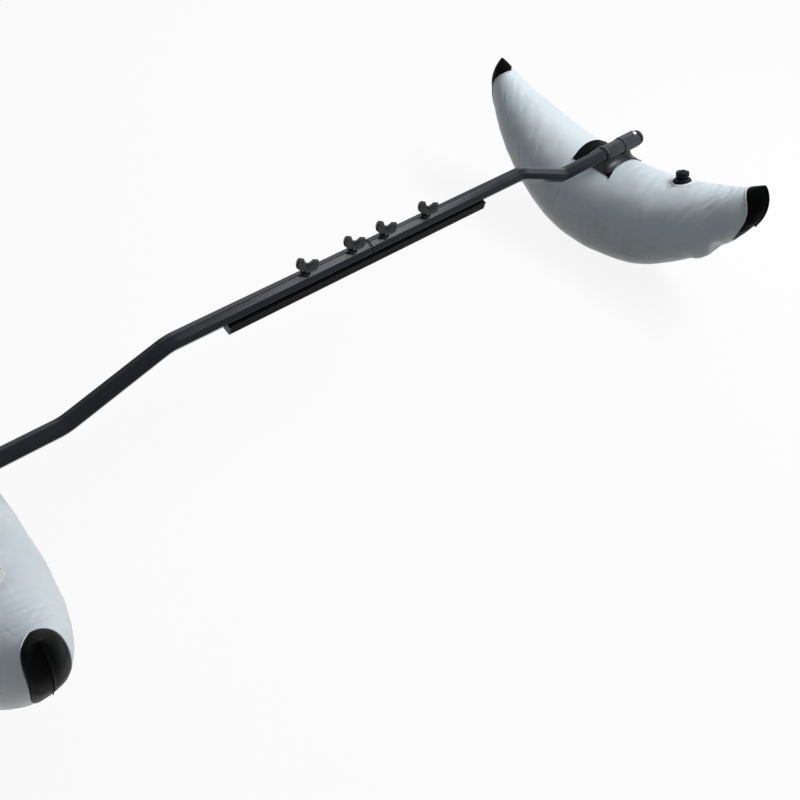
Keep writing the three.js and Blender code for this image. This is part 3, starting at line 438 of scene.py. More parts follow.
def tinted(tree, mask, place, dark, light):
    """A colour between two, by a mask."""
    colours = {"Factor": mask, "A": dark, "B": light}
    return node(tree, "ShaderNodeMix", place, colours, data_type="RGBA").outputs["Result"]


def bumped(tree, height, place, distance, **under):
    """The normal of a surface that a height raises, on top of another such normal if there is one."""
    relief = {"Strength": 1, "Distance": distance, "Height": height, **under}
    return node(tree, "ShaderNodeBump", place, relief).outputs["Normal"]


def coated_fabric(name, dark, light, rough, thread, coat):
    """Welded fabric under a smooth coating."""
    made, tree, shader = principled(name)
    cloth = place_effect(tree, weave, (-700, 0), Pitch=5200.0, Mottle=7.0)
    spread = mapped(tree, cloth.outputs["Tone"], (-500, 200), 0, 1, 0.3, 0.7)
    orange_peel = bumped(tree, noise(tree, (-700, -300), Scale=260, Detail=3), (-300, -300), 0.00025)
    feed(tree, shader, {
        "Base Color": tinted(tree, spread, (-300, 200), dark, light),
        "Roughness": mapped(tree, spread, (-300, 0), *rough),
        "Normal": bumped(tree, cloth.outputs["Height"], (-100, -200), thread, Normal=orange_peel),
        "Coat Weight": coat,
        "Coat Roughness": 0.16,
    })
    return made, tree, shader


pale_skin, skin_tree, skin_shader = coated_fabric(
    "pale_coated_fabric", (0.695, 0.80, 0.88), (0.775, 0.875, 0.94),
    rough=(0.3, 0.42), thread=0.00008, coat=0.14)
# Painted shade: the skin is coloured a little greyer and warmer low on the belly than on the top, with an
# uneven edge.
skin_split = node(skin_tree, "ShaderNodeSeparateXYZ", (-1100, 500), {0: mesh_place(skin_tree, (-1300, 500))})
belly_shade_edge_noise = noise(skin_tree, (-1100, 700), Scale=9, Detail=6)
belly_shade_height = calculated(skin_tree, "MULTIPLY_ADD", (-900, 600), belly_shade_edge_noise, 0.14, skin_split.outputs["Z"])
painted_belly_shade = mapped(skin_tree, belly_shade_height, (-700, 600), 1, 0, 0.05, 0.24)
unshaded_skin_colour = skin_shader.inputs["Base Color"].links[0].from_socket
belly_shaded_skin_colour = tinted(skin_tree, painted_belly_shade, (-100, 400), unshaded_skin_colour, (0.44, 0.45, 0.43))
feed(skin_tree, skin_shader, {"Base Color": belly_shaded_skin_colour})

float_shares = np.concatenate([
    np.linspace(0, TIP_BORDER, 96, endpoint=False),
    TIP_BORDER + (1 - TIP_BORDER) * np.sin(np.linspace(0, math.pi / 2, 12)),
])
float_shares = np.concatenate([-float_shares[:0:-1], float_shares])[:, None]
float_turns = round_float()[None, :]
plain_float = on_float(float_shares, float_turns)
share_grid, turn_grid = np.broadcast_arrays(float_shares, float_turns)
relief = skin_relief(share_grid, turn_grid, plain_float)
skin_points = plain_float + grid_normals(plain_float) * relief[..., None]
skin_points[..., 2] = np.maximum(skin_points[..., 2], 0)
for side, sign in SIDES:
    skin = build(f"float_skin_{side}", *lofted(skin_points), sign, pale_skin, f"arm_{side}", "skin")
    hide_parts(f"float_{side}")


# Tip patches: black coated fabric folded round both ends of each float and welded to itself in an
# upright seam that stands proud of the tip. The border bows towards the tip on both flanks, where a
# pale piping covers it.

black_fabric, _, fabric_shader = coated_fabric(
    "black_coated_fabric", (0.0015, 0.0018, 0.002), (0.005, 0.0055, 0.006),
    rough=(0.28, 0.4), thread=0.00012, coat=0.0)
fabric_shader.inputs["IOR"].default_value = 1.07
pale_weld, *_ = coated_fabric(
    "pale_weld", (0.78, 0.84, 0.87), (0.86, 0.90, 0.92), rough=(0.3, 0.42), thread=0.00004, coat=0.3)
FIN_REACH = 0.0026
# How far each ring of the fin reaches, and how wide it stays, as shares.
FIN_RINGS = ((0.35, 0.6), (0.7, 0.42), (1, 0.34), (1.12, 0.16))
WAVE_HEIGHT, WAVE_LENGTH, WAVE_SEED, TIP_RADIUS = 0.7 * MM, 0.03, 21, 0.03
PIPING_RADIUS, PIPING_BACK = 0.0014, 0.0035
around_tip = np.linspace(0, 2 * math.pi, 120, endpoint=False)
flank = np.abs(np.cos(around_tip))
tip_bow = np.where(np.cos(around_tip) > 0, 0.74 * flank ** 0.8, 0.5 * flank ** 1.6)
tip_border = TIP_BORDER + tip_bow * (1 - TIP_BORDER)
tab = np.exp(-((around_tip - 1.5 * math.pi) / 0.35) ** 2)


def tip_patch_rings(end):
    """Rings over the outside of a tip, drawn in at the end to the fin of the seam, then back inside."""
    steps = [tip_border + (1 - tip_border) * math.sin(turn) for turn in np.linspace(0.0, math.pi / 2, 26)]
    outer = []
    for k, share in enumerate(steps):
        ring = on_float(end * share, around_tip, SEAT + FABRIC * min(1, 0.35 + 0.65 * k / 2))
        waves = WAVE_HEIGHT * ripples(ring, WAVE_LENGTH, WAVE_SEED) * min(1, k / 5)
        outer.append(ring + (ring - ring.mean(axis=0)) * (waves / TIP_RADIUS)[:, None])
    last = outer[-1]
    middle = last.mean(axis=0)
    for reach, narrow in FIN_RINGS:
        ring = last.copy()
        ring[:, 0] = middle[0] + (last[:, 0] - middle[0]) * narrow
        ring[:, 1] = last[:, 1] + end * FIN_REACH * reach * (1 + 0.7 * tab)
        ring[:, 2] = middle[2] + (last[:, 2] - middle[2]) * (1 - 0.012 * reach) - 0.0012 * reach * tab
        outer.append(ring)
    inner = [on_float(end * share, around_tip, SEAT) for share in steps[::-1]]
    rings = inner + outer
    return rings if end > 0 else rings[::-1]


def piping_rings(end):
    """A thin bead round the float where a tip patch begins."""
    middle = on_float(end * (tip_border - PIPING_BACK), around_tip, SEAT + 0.0004)
    out = middle - middle.mean(axis=0)
    out[:, 1] = 0
    out /= np.linalg.norm(out, axis=1, keepdims=True)
    along = np.array([0, 1.0, 0])
    turns = np.linspace(0, 2 * math.pi, 10, endpoint=False)
    return [middle + PIPING_RADIUS * (math.cos(t) * out + math.sin(t) * along) for t in turns]


for side, sign in SIDES:
    for place, end in (("front", -1), ("rear", 1)):
        patch = build(f"tip_cover_{place}_{side}", *lofted(tip_patch_rings(end)), sign,
                      black_fabric, f"arm_{side}", "patch")
        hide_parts(f"tip_patch_{place}_{side}")
        build(f"tip_piping_{place}_{side}", *lofted(piping_rings(end), joined=True), sign,
              pale_weld, f"arm_{side}", "weld")


# Foot patch: a black fabric panel welded over the crest under the socket. Its front and side edges
# bow in between pointed corners, its back edge bows out, and two pressed lines follow its border.

ARM_FORWARD = 0.008
PATCH_FRONT, PATCH_BACK, PATCH_BOW = 0.030, 0.074, 0.010
PRESSED_LINES, PRESSED_WIDTH, PRESSED_DEPTH = (3.9, 6.7), 0.5, 0.42
CORNER_CURL, CURL_REACH = 1.5, 7
PATCH_LIFT, PATCH_THICK, UNDERSIDE_LIFT = 0.3, 1.6, 0.25
border_steps = np.array([0, 0.4, 0.8, 1.3, 2.2, 3.1, 3.5, 3.9, 4.3, 4.8, 5.8, 6.3, 6.7, 7.1, 7.8, 9.5]) * MM


def patch_spacing(length, count):
    inner = np.linspace(border_steps[-1], length - border_steps[-1], count)[1:-1]
    return np.concatenate([border_steps, inner, length - border_steps[::-1]]) / length


def bowed(start, control, end, share):
    share = share[:, None]
    start, control, end = (np.array(p, float) for p in (start, control, end))
    return (1 - share) ** 2 * start + 2 * share * (1 - share) * control + share ** 2 * end


patch_u = patch_spacing(2 * PATCH_HALF, 44)
patch_v = patch_spacing(PATCH_FRONT + PATCH_BACK, 36)
near_left, near_right = np.array([(-PATCH_HALF, -PATCH_FRONT), (PATCH_HALF, -PATCH_FRONT)])
far_left, far_right = np.array([(-PATCH_HALF, PATCH_BACK), (PATCH_HALF, PATCH_BACK)])
front_edge = bowed(near_left, (0, 2 * PATCH_BOW - PATCH_FRONT), near_right, patch_u)
back_edge = bowed(far_left, (0, PATCH_BACK + PATCH_BOW), far_right, patch_u)
left_edge = bowed(near_left, (PATCH_BOW - PATCH_HALF, 0), far_left, patch_v)
right_edge = bowed(near_right, (PATCH_HALF - PATCH_BOW, 0), far_right, patch_v)
u, v = patch_u[None, :, None], patch_v[:, None, None]
between_ends = (1 - v) * front_edge[None] + v * back_edge[None]
between_sides = (1 - u) * left_edge[:, None] + u * right_edge[:, None]
between_corners = (1 - v) * ((1 - u) * near_left + u * near_right) + v * ((1 - u) * far_left + u * far_right)
flat = between_ends + between_sides - between_corners
patch_x = FLOAT_X + flat[..., 0]
patch_y = flat[..., 1] - ARM_FORWARD
from_side = np.minimum(u[..., 0], 1 - u[..., 0]) * 2 * PATCH_HALF
from_end = np.minimum(v[..., 0], 1 - v[..., 0]) * (PATCH_FRONT + PATCH_BACK)
from_edge = np.minimum(from_side, from_end) / MM
from_corner = np.hypot(from_side, from_end) / MM


def lifted(x, y, lift):
    """Points a little above the float's upper surface, along its normal."""
    step = 0.0005
    slope_x = (top_of_float(x + step, y) - top_of_float(x - step, y)) / (2 * step)
    slope_y = (top_of_float(x, y + step) - top_of_float(x, y - step)) / (2 * step)
    normal = np.stack([-slope_x, -slope_y, np.ones_like(slope_x)], -1)
    normal /= np.linalg.norm(normal, axis=-1, keepdims=True)
    return np.stack([x, y, top_of_float(x, y)], -1) + normal * np.asarray(lift)[..., None]


pressed = PRESSED_DEPTH * sum(np.exp(-((from_edge - line) / PRESSED_WIDTH) ** 2) for line in PRESSED_LINES)
curled = CORNER_CURL * np.exp(-(from_corner / CURL_REACH) ** 2)
top_lift = (PATCH_LIFT + PATCH_THICK * ramp(from_edge, -0.6, 1.3) - pressed + curled) * MM
patch_top = lifted(patch_x, patch_y, top_lift)
patch_bottom = lifted(patch_x, patch_y, (UNDERSIDE_LIFT + curled) * MM)


def slab(top, bottom):
    """Points and faces of a thin sheet between two grids."""
    rows, columns = top.shape[:2]
    count = rows * columns
    faces = []
    for i in range(rows - 1):
        for j in range(columns - 1):
            a, b = i * columns + j, (i + 1) * columns + j
            faces.append((a, a + 1, b + 1, b))
            faces.append((count + a, count + b, count + b + 1, count + a + 1))
    rim = [*range(columns)]
    rim += [(i + 1) * columns - 1 for i in range(1, rows)]
    rim += [(rows - 1) * columns + j for j in range(columns - 2, -1, -1)]
    rim += [i * columns for i in range(rows - 2, 0, -1)]
    for k, here in enumerate(rim):
        there = rim[(k + 1) % len(rim)]
        faces.append((here, count + here, count + there, there))
    return np.concatenate([top.reshape(-1, 3), bottom.reshape(-1, 3)]), faces


for side, sign in SIDES:
    panel = build(f"foot_panel_{side}", *slab(patch_top, patch_bottom), sign,
                  black_fabric, f"arm_{side}", "patch")
    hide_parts(f"foot_patch_{side}")


# Socket: moulded in one piece. An eight-sided sleeve with an edge up, in two steps, ringed by a fine
# groove at its mouth and at the step, on a web that flares with hollow sides to a thin rim.

ARM_RISE = 0.029
ARM_LEAN = math.radians(13.6)
ARM_FRAME = Matrix.Translation((0, -ARM_FORWARD, FLOAT_CREST + ARM_RISE)) @ Matrix.Rotation(ARM_LEAN, 4, "X")
ARM_FLATS = 0.0275
SOCKET_START, SOCKET_STEP, SOCKET_END = FLOAT_X - 0.057, FLOAT_X + 0.003, FLOAT_X + 0.058
SLEEVE_WALL, STEP_RISE, SLIDE = 0.0025, 0.0020, 0.0004
CORNER_SLOPE = math.tan(math.pi / 8)
FOOT_BACK, FOOT_EDGE, FOOT_RIM = 0.050, 0.005, 0.0012
GROOVE_WIDTH, GROOVE_DEPTH, LIP = 0.0017, 0.0011, 0.0003
SLEEVE_CORNER, BORE_CORNER = 0.0034, 0.0022
WEB_OUTBOARD, WEB_INBOARD, WEB_FLARE = 0.042, 0.049, 2.6


def put_in(place, points):
    return np.array(points, float) @ np.array(place.to_3x3()).T + np.array(place.translation)


def in_arm_frame(points):
    return put_in(ARM_FRAME, points)


def corner_reach(flats):
    """From the middle of an eight-sided section to its corner."""
    return flats / 2 / math.cos(math.pi / 8)


def rounded_octagon(flats, corner, steps=4):
    """An eight-sided outline with an edge up and rounded corners, as places across and up."""
    outline = []
    for side in range(8):
        middle = side * math.pi / 4
        reach = (flats / 2 - corner) / math.cos(math.pi / 8)
        for k in range(steps):
            angle = middle - math.pi / 8 + math.pi / 4 * k / (steps - 1)
            outline.append((reach * math.cos(middle) + corner * math.cos(angle),
                            reach * math.sin(middle) + corner * math.sin(angle)))
    return np.array(outline)


def along_x(x, outline):
    return np.stack([np.full(len(outline), x), outline[:, 0], outline[:, 1]], -1)


def flats_kept_flat(piece):
    """Shades wide faces flat and the rounded edges between them smooth."""
    weighted = piece.modifiers.new("flats", "WEIGHTED_NORMAL")
    weighted.keep_sharp = False
    weighted.weight = 80


# Moulded grain: the fine sparkle of a spark-eroded mould, with patches a little duller than others.
grain, grain_in, grain_out = effect("moulded_grain", {"Scale": 900.0, "Patches": 14.0}, ["Height", "Tone"])
grain_place = mesh_place(grain, (-800, 0))
for label, result, detail, row in (("Scale", "Height", 2, 0), ("Patches", "Tone", 4, 1)):
    scale = grain_in.outputs[label]
    texture = noise(grain, (-400, -250 * row), Vector=grain_place, Scale=scale, Detail=detail)
    feed(grain, grain_out, {result: texture})

# Pale edges: where a soft bevel differs from the face beside it, broken up by noise. This is scuffing from
# handling on most parts, and on the rail partly a painted highlight where the edges catch the light.
wear_and_highlight_edges, wear_and_highlight_in, wear_and_highlight_out = effect("edge_wear_and_highlight", {"Reach": 0.0012, "Breakup": 160.0}, ["Mask"])
bevel = node(wear_and_highlight_edges, "ShaderNodeBevel", (-600, 200), {"Radius": wear_and_highlight_in.outputs["Reach"]}, samples=4)
face = node(wear_and_highlight_edges, "ShaderNodeNewGeometry", (-600, 0))
normals = {0: bevel.outputs["Normal"], 1: face.outputs["Normal"]}
same = node(wear_and_highlight_edges, "ShaderNodeVectorMath", (-400, 100), normals, operation="DOT_PRODUCT")
edge = mapped(wear_and_highlight_edges, same.outputs["Value"], (-200, 100), 1, 0, 0.90, 0.995)
wear_and_highlight_place = mesh_place(wear_and_highlight_edges, (-800, -200))
patchy = noise(wear_and_highlight_edges, (-400, -200), Vector=wear_and_highlight_place, Scale=wear_and_highlight_in.outputs["Breakup"], Detail=5)
broken = mapped(wear_and_highlight_edges, patchy, (-200, -200), 0, 1, 0.42, 0.62)
feed(wear_and_highlight_edges, wear_and_highlight_out, {"Mask": calculated(wear_and_highlight_edges, "MULTIPLY", (0, 0), edge, broken)})


def black_with_wear_and_highlight(tree, shader, tone, height, colours, rough, depth, gloss, wear_and_highlight_amount, **edges):
    """A black that varies between two colours and is paler, as a third, at its edges: scuffing on most parts,
    partly a painted highlight on the rail.
    """
    dark, light, pale = colours
    plain = tinted(tree, tone, (-500, 200), dark, light)
    wear_and_highlight_node = place_effect(tree, wear_and_highlight_edges, (-900, -300), **edges)
    wear_and_highlight_share = mapped(tree, wear_and_highlight_node.outputs["Mask"], (-500, -300), 0, wear_and_highlight_amount)
    feed(tree, shader, {
        "Base Color": tinted(tree, wear_and_highlight_share, (-250, 200), plain, pale),
        "Roughness": mapped(tree, tone, (-250, 0), *rough),
        "Normal": bumped(tree, height, (-250, -200), depth),
        "IOR": gloss,
    })


def grained_black(name, colours, rough, depth, gloss, wear_and_highlight_amount, grains, **edges):
    """A black over the grain of its mould or its coat, paler at its scuffed edges."""
    made, tree, shader = principled(name)
    texture = place_effect(tree, grain, (-900, 0), **grains)
    tone = mapped(tree, texture.outputs["Tone"], (-700, 100), 0, 1, 0.35, 0.65)
    black_with_wear_and_highlight(tree, shader, tone, texture.outputs["Height"], colours, rough, depth, gloss, wear_and_highlight_amount, **edges)
    return made


def black_plastic(name, dark, light, rough, depth, gloss):
    """Moulded plastic, whose corners rub grey."""
    return grained_black(name, (dark, light, (0.09, 0.095, 0.10)), rough, depth, gloss, wear_and_highlight_amount=0.4,
                         grains={"Scale": 1400.0, "Patches": 22.0}, Reach=0.0009, Breakup=210.0)


socket_plastic = black_plastic(
    "socket_plastic", (0.018, 0.023, 0.028), (0.030, 0.037, 0.043),
    rough=(0.2, 0.3), depth=0.00005, gloss=1.3)


def sleeve_rings():
    """Along the outside of the two steps, with a groove at the mouth and one at the step, and back inside."""
    first = ARM_FLATS + 2 * (SLIDE + SLEEVE_WALL)
    second = first + 2 * STEP_RISE
    bore = ARM_FLATS + 2 * SLIDE
    sunk = first - 2 * GROOVE_DEPTH
    mouth, step = SOCKET_START + 0.0026, SOCKET_STEP
    outside = [
        (SOCKET_START, first - 0.0022), (SOCKET_START + LIP, first - 0.0010), (SOCKET_START + 0.001, first),
        (mouth, first), (mouth + LIP, sunk),
        (mouth + GROOVE_WIDTH - LIP, sunk), (mouth + GROOVE_WIDTH, first),
        (step - GROOVE_WIDTH - 2 * LIP, first), (step - GROOVE_WIDTH - LIP, sunk), (step - 2 * LIP, sunk),
        (step - LIP, second - 0.0024), (step, second - 0.0010), (step + 0.0008, second),
        (SOCKET_END - 0.0016, second), (SOCKET_END - 0.0006, second - 0.0008), (SOCKET_END, second - 0.0026),
    ]
    inside = [(SOCKET_END, bore + 0.001), (SOCKET_END - 0.0008, bore),
              (SOCKET_START + 0.0008, bore), (SOCKET_START, bore + 0.001)]
    rings = [along_x(x, rounded_octagon(flats, SLEEVE_CORNER)) for x, flats in outside]
    rings += [along_x(x, rounded_octagon(flats, BORE_CORNER)) for x, flats in inside]
    return in_arm_frame(rings)


def squared(to_outboard, to_inboard, to_back, to_front, count=132, power=7.0):
    """A ring with four nearly straight sides, as places across the float and along it."""
    across, along = swollen_circle(np.linspace(0, 2 * math.pi, count, endpoint=False), power)
    x = FLOAT_X + across * np.where(across > 0, to_outboard, to_inboard)
    return x, along * np.where(along > 0, to_back, to_front)


def foot_rings():
    """From inside the sleeve's lower wall down the web to the rim, then under it to the middle."""
    web = ARM_FLATS / 2 - 0.002
    wall = corner_reach(ARM_FLATS + 2 * SLIDE + 1.2 * SLEEVE_WALL)
    x, along = squared(WEB_OUTBOARD, WEB_INBOARD, web, web)
    under = CORNER_SLOPE * np.abs(along) - wall
    head = in_arm_frame(np.stack([x, along, under], -1))
    end = PATCH_HALF - FOOT_EDGE
    rim_x, rim_y = squared(end, end, FOOT_BACK, PATCH_FRONT - FOOT_EDGE)
    rim_y = rim_y - ARM_FORWARD
    bottom = 2 * SEAT + FABRIC
    rim = lifted(rim_x, rim_y, np.full_like(rim_x, bottom + FOOT_RIM))
    rings = []
    for drop in np.linspace(0, 1, 26):
        ring = head + (rim - head) * drop ** WEB_FLARE
        ring[:, 2] = head[:, 2] + (rim[:, 2] - head[:, 2]) * drop
        rings.append(ring)
    rings.append(lifted(rim_x, rim_y, np.full_like(rim_x, bottom + 0.0005)))
    middle_x, middle_y = rim_x.mean(), rim_y.mean()
    for shrink in (0.985, 0.8, 0.6, 0.4, 0.2, 0.06):
        x, y = middle_x + (rim_x - middle_x) * shrink, middle_y + (rim_y - middle_y) * shrink
        rings.append(lifted(x, y, np.full_like(x, bottom)))
    return rings[::-1]


def together(*parts):
    """Several closed forms as the points and faces of one piece."""
    points, faces, start = [], [], 0
    for part_points, part_faces in parts:
        points.append(np.array(part_points, float).reshape(-1, 3))
        faces += [tuple(start + k for k in face) for face in part_faces]
        start += len(points[-1])
    return np.concatenate(points), faces


housing_form = together(lofted(sleeve_rings(), joined=True), lofted(foot_rings()))
for side, sign in SIDES:
    housing = build(f"float_socket_{side}", *housing_form, sign, socket_plastic, f"arm_{side}", "moulded")
    flats_kept_flat(housing)
    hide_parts(f"socket_{side}")


# Arm: a drawn eight-sided aluminium tube with a gloss black coat. It lies level on the crossbar,
# drops on a slant with two smooth bends, and runs level through the float's socket.

ARM_WALL = 0.002
ARM_DROP = 0.078
ARM_START, ARM_END = 0.0015, SOCKET_END + 0.005
INNER_BEND, OUTER_BEND = 0.3940, 0.5620
BEND_RADIUS = 0.055
END_RUN = 0.002
TUBE_CORNER, TUBE_BORE_CORNER = 0.0026, 0.0012


def arm_path(bend_steps=14):
    """The tube's middle line: three straight runs joined by arcs at the bends."""
    places = ((ARM_START, ARM_DROP), (INNER_BEND, ARM_DROP), (OUTER_BEND, 0), (ARM_END, 0))
    corners = [Vector(place) for place in places]
    path = [corners[0], corners[0] + Vector((END_RUN, 0))]
    for before, here, after in zip(corners, corners[1:], corners[2:]):
        into, out = (here - before).normalized(), (after - here).normalized()
        turn = into.angle(out)
        side = (out - into * into.dot(out)).normalized()
        start = here - into * BEND_RADIUS * math.tan(turn / 2)
        for k in range(bend_steps + 1):
            angle = turn * k / bend_steps
            ahead = into * BEND_RADIUS * math.sin(angle)
            path.append(start + ahead + side * BEND_RADIUS * (1 - math.cos(angle)))
    return path + [corners[-1] - Vector((END_RUN, 0)), corners[-1]]


def carried(path, outline):
    """An outline carried along a path in the arm's own plane, mitred at each point."""
    rings = []
    for i, point in enumerate(path):
        into = (point - path[i - 1]).normalized() if i else (path[1] - point).normalized()
        out = (path[i + 1] - point).normalized() if i < len(path) - 1 else into
        along = (into + out).normalized()
        normal = Vector((-along.y, along.x)) / along.dot(into)
        rings.append([(point.x + normal.x * up, across, point.y + normal.y * up) for across, up in outline])
    return np.array(rings)


gloss_black = grained_black(
    "gloss_black_coat", ((0.011, 0.015, 0.021), (0.018, 0.024, 0.031), (0.06, 0.066, 0.075)),
    rough=(0.16, 0.24), depth=0.00006, gloss=1.21, wear_and_highlight_amount=0.3,
    grains={"Scale": 380.0, "Patches": 5.0}, Reach=0.0016, Breakup=90.0)
outside = carried(arm_path(), rounded_octagon(ARM_FLATS, TUBE_CORNER))
inside = carried(arm_path(), rounded_octagon(ARM_FLATS - 2 * ARM_WALL, TUBE_BORE_CORNER))[::-1]
tube_form = lofted(in_arm_frame(np.concatenate([outside, inside])), joined=True)
for side, sign in SIDES:
    tube = build(f"arm_tube_{side}", *tube_form, sign, gloss_black, f"arm_{side}", "tube")
    flats_kept_flat(tube)
    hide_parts(f"arm_{side}")


# Arm fittings: a domed plastic cap on the outer end, and near it the steel snap button that stands
# through the socket. A folded leaf spring inside the tube holds the button out.

PLUG_FLATS = ARM_FLATS - 2 * ARM_WALL - 2 * SEAT
PLUG_DEPTH, PLUG_OVERLAP = 0.009, 0.0015
BUTTON_X = SOCKET_END - 0.012
BUTTON_RADIUS, FLANGE_RADIUS, FLANGE_DEPTH = 0.0045, 0.0053, 0.0024
BUTTON_SEAT = corner_reach(PLUG_FLATS) - FLANGE_RADIUS * CORNER_SLOPE
BUTTON_TOP = corner_reach(ARM_FLATS + 2 * (SLIDE + SLEEVE_WALL + STEP_RISE)) + 0.004
SPRING_LEAF, SPRING_WIDTH, SPRING_REACH, SPRING_FOLD, BUTTON_TRAVEL = 0.0008, 0.009, 0.050, 0.0016, 0.004


def circle(radius, height, count):
    """A ring about an upright axis, whose radius and height may change on the way round."""
    angle = np.linspace(0, 2 * math.pi, count, endpoint=False)
    return np.stack(np.broadcast_arrays(radius * np.cos(angle), radius * np.sin(angle), height), -1)


def turned(profile, count):
    """Rings of a closed form turned about an upright axis, from radius and height."""
    return [circle(radius, height, count) for radius, height in profile]


def corner_arc(before, here, after, radius, room, steps):
    """A small arc in place of a corner, which takes up no more than a share of the sides beside it."""
    back, ahead = before - here, after - here
    reach = min(radius, back.length * room, ahead.length * room)
    start, end = here + back.normalized() * reach, here + ahead.normalized() * reach
    shares = [k / steps for k in range(steps + 1)]
    return [start * (1 - share) ** 2 + here * 2 * share * (1 - share) + end * share ** 2 for share in shares]


def rounded_profile(profile, radius, steps=4):
    """A profile whose corners are cut by small arcs."""
    points = [Vector(p) for p in profile]
    made = [points[0]]
    for before, here, after in zip(points, points[1:], points[2:]):
        made += corner_arc(before, here, after, radius, 0.45, steps)
    return [(p.x, p.y) for p in [*made, points[-1]]]


cap_profile = rounded_profile([(0.0006, 0), (0.0166, 0), (0.0170, 0.0009), (0.0170, 0.0060), (0.0154, 0.0082),
                               (0.0122, 0.0089), (0.0006, 0.0090)], 0.0014)
cap_head = np.array(turned(cap_profile, 72))[..., [2, 1, 0]] * (1, 1, -1) + (ARM_END + SEAT, 0, 0)
cap_plug = [along_x(x, rounded_octagon(PLUG_FLATS, TUBE_BORE_CORNER))
            for x in (ARM_END - PLUG_DEPTH, ARM_END + SEAT + PLUG_OVERLAP)]
cap_form = together(lofted(in_arm_frame(cap_head)), lofted(in_arm_frame(cap_plug)[::-1]))

brushed_steel, steel_tree, steel_shader = principled("bright_steel")
steel_grain = place_effect(steel_tree, grain, (-700, 0), Scale=2600.0, Patches=60.0)
steel_tone = steel_grain.outputs["Tone"]
feed(steel_tree, steel_shader, {
    "Base Color": tinted(steel_tree, steel_tone, (-400, 200), (0.46, 0.47, 0.48), (0.66, 0.67, 0.68)),
    "Roughness": mapped(steel_tree, steel_tone, (-400, 0), 0.22, 0.38),
    "Normal": bumped(steel_tree, steel_grain.outputs["Height"], (-400, -200), 0.00002),
    "Metallic": 1,
})

button_profile = rounded_profile([
    (0.0002, BUTTON_SEAT - FLANGE_DEPTH), (FLANGE_RADIUS, BUTTON_SEAT - FLANGE_DEPTH),
    (FLANGE_RADIUS, BUTTON_SEAT), (BUTTON_RADIUS, BUTTON_SEAT), (BUTTON_RADIUS, BUTTON_TOP - 0.0012),
    (0.0036, BUTTON_TOP - 0.0001), (0.0002, BUTTON_TOP)], 0.0007)
button_rings = np.array(turned(button_profile, 40)) + (BUTTON_X, 0, 0)

spring_tip = BUTTON_X + SPRING_WIDTH / 4
spring_low = SPRING_LEAF / 2 + SPRING_WIDTH / 2 * CORNER_SLOPE - corner_reach(PLUG_FLATS)
spring_high = BUTTON_SEAT - FLANGE_DEPTH - SPRING_LEAF
fold_centre = Vector((spring_tip - SPRING_REACH + SPRING_FOLD, (spring_low + spring_high) / 2))
fold_turns = np.linspace(0, math.pi, 13)
fold = [fold_centre - SPRING_FOLD * Vector((math.sin(turn), math.cos(turn))) for turn in fold_turns]
spring_path = [Vector((spring_tip, spring_low)), *fold, Vector((spring_tip, spring_high))]
spring_section = np.array([(-1, -1), (1, -1), (1, 1), (-1, 1)]) * (SPRING_WIDTH / 2, SPRING_LEAF / 2)
spring_form = lofted(in_arm_frame(carried(spring_path, spring_section)))

for side, sign in SIDES:
    cap = build(f"end_cap_{side}", *cap_form, sign, socket_plastic, f"arm_{side}", "moulded")
    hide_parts(f"arm_end_cap_{side}")
    stud = build(f"button_{side}", *lofted(in_arm_frame(button_rings)[::-1]), sign,
                 brushed_steel, f"button_{side}", "steel")
    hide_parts(f"snap_button_{side}")
    leaf = build(f"button_spring_{side}", *spring_form, sign,
                 brushed_steel, f"arm_{side}", "steel", smooth=False)
    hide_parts(f"snap_spring_{side}")
    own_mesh(leaf)
    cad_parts[f"arm_plug_{side}"].material_slots[0].material = gloss_black


# Crossbar: an extruded aluminium rail with a T-slot along its top, two grooves along each side and
# a closed chamber below, satin black with fine drawing lines. Moulded caps close its two ends.

RAIL_LENGTH, RAIL_WIDTH, RAIL_HEIGHT = 0.575, 0.030, 0.018
SLOT_MOUTH = 0.0034
RAIL_TOP = ARM_DROP - corner_reach(ARM_FLATS + 2 * SEAT) + SLOT_MOUTH * CORNER_SLOPE
RAIL_WALL, RAIL_LIP, NUT_HEIGHT = 0.0024, 0.0026, 0.005
RAIL_GROOVE, RAIL_GROOVE_DEPTH = 0.0022, 0.0012
CAVITY_HALF, CAVITY_CLEARANCE = 0.0069, 0.0008
CAVITY_FLOOR = -RAIL_LIP - NUT_HEIGHT - CAVITY_CLEARANCE
GROOVE_PLACES = (0.3, 0.62)
RAIL_ROUNDING, CHAMBER_ROUNDING = 0.0006, 0.001


def eased(outline, radius, steps=3):
    """A closed outline with its corners rounded."""
    points = [Vector(p) for p in outline]
    made = []
    for before, here, after in zip([points[-1], *points], points, [*points[1:], points[0]]):
        made += corner_arc(before, here, after, radius, 0.4, steps)
    return np.array([(p.x, p.y) for p in made])


def rail_outline():
    half = RAIL_WIDTH / 2
    side = [(half, 0)]
    for share in GROOVE_PLACES:
        middle = -RAIL_HEIGHT * share
        side += [(half, middle + RAIL_GROOVE / 2),
                 (half - RAIL_GROOVE_DEPTH, middle + (RAIL_GROOVE - RAIL_GROOVE_DEPTH) / 2),
                 (half - RAIL_GROOVE_DEPTH, middle - (RAIL_GROOVE - RAIL_GROOVE_DEPTH) / 2),
                 (half, middle - RAIL_GROOVE / 2)]
    side += [(half, -RAIL_HEIGHT)]
    slot = [(CAVITY_HALF, CAVITY_FLOOR), (CAVITY_HALF, -RAIL_LIP), (SLOT_MOUTH, -RAIL_LIP), (SLOT_MOUTH, 0)]
    right = slot + side
    return right + [(-y, z) for y, z in reversed(right)]


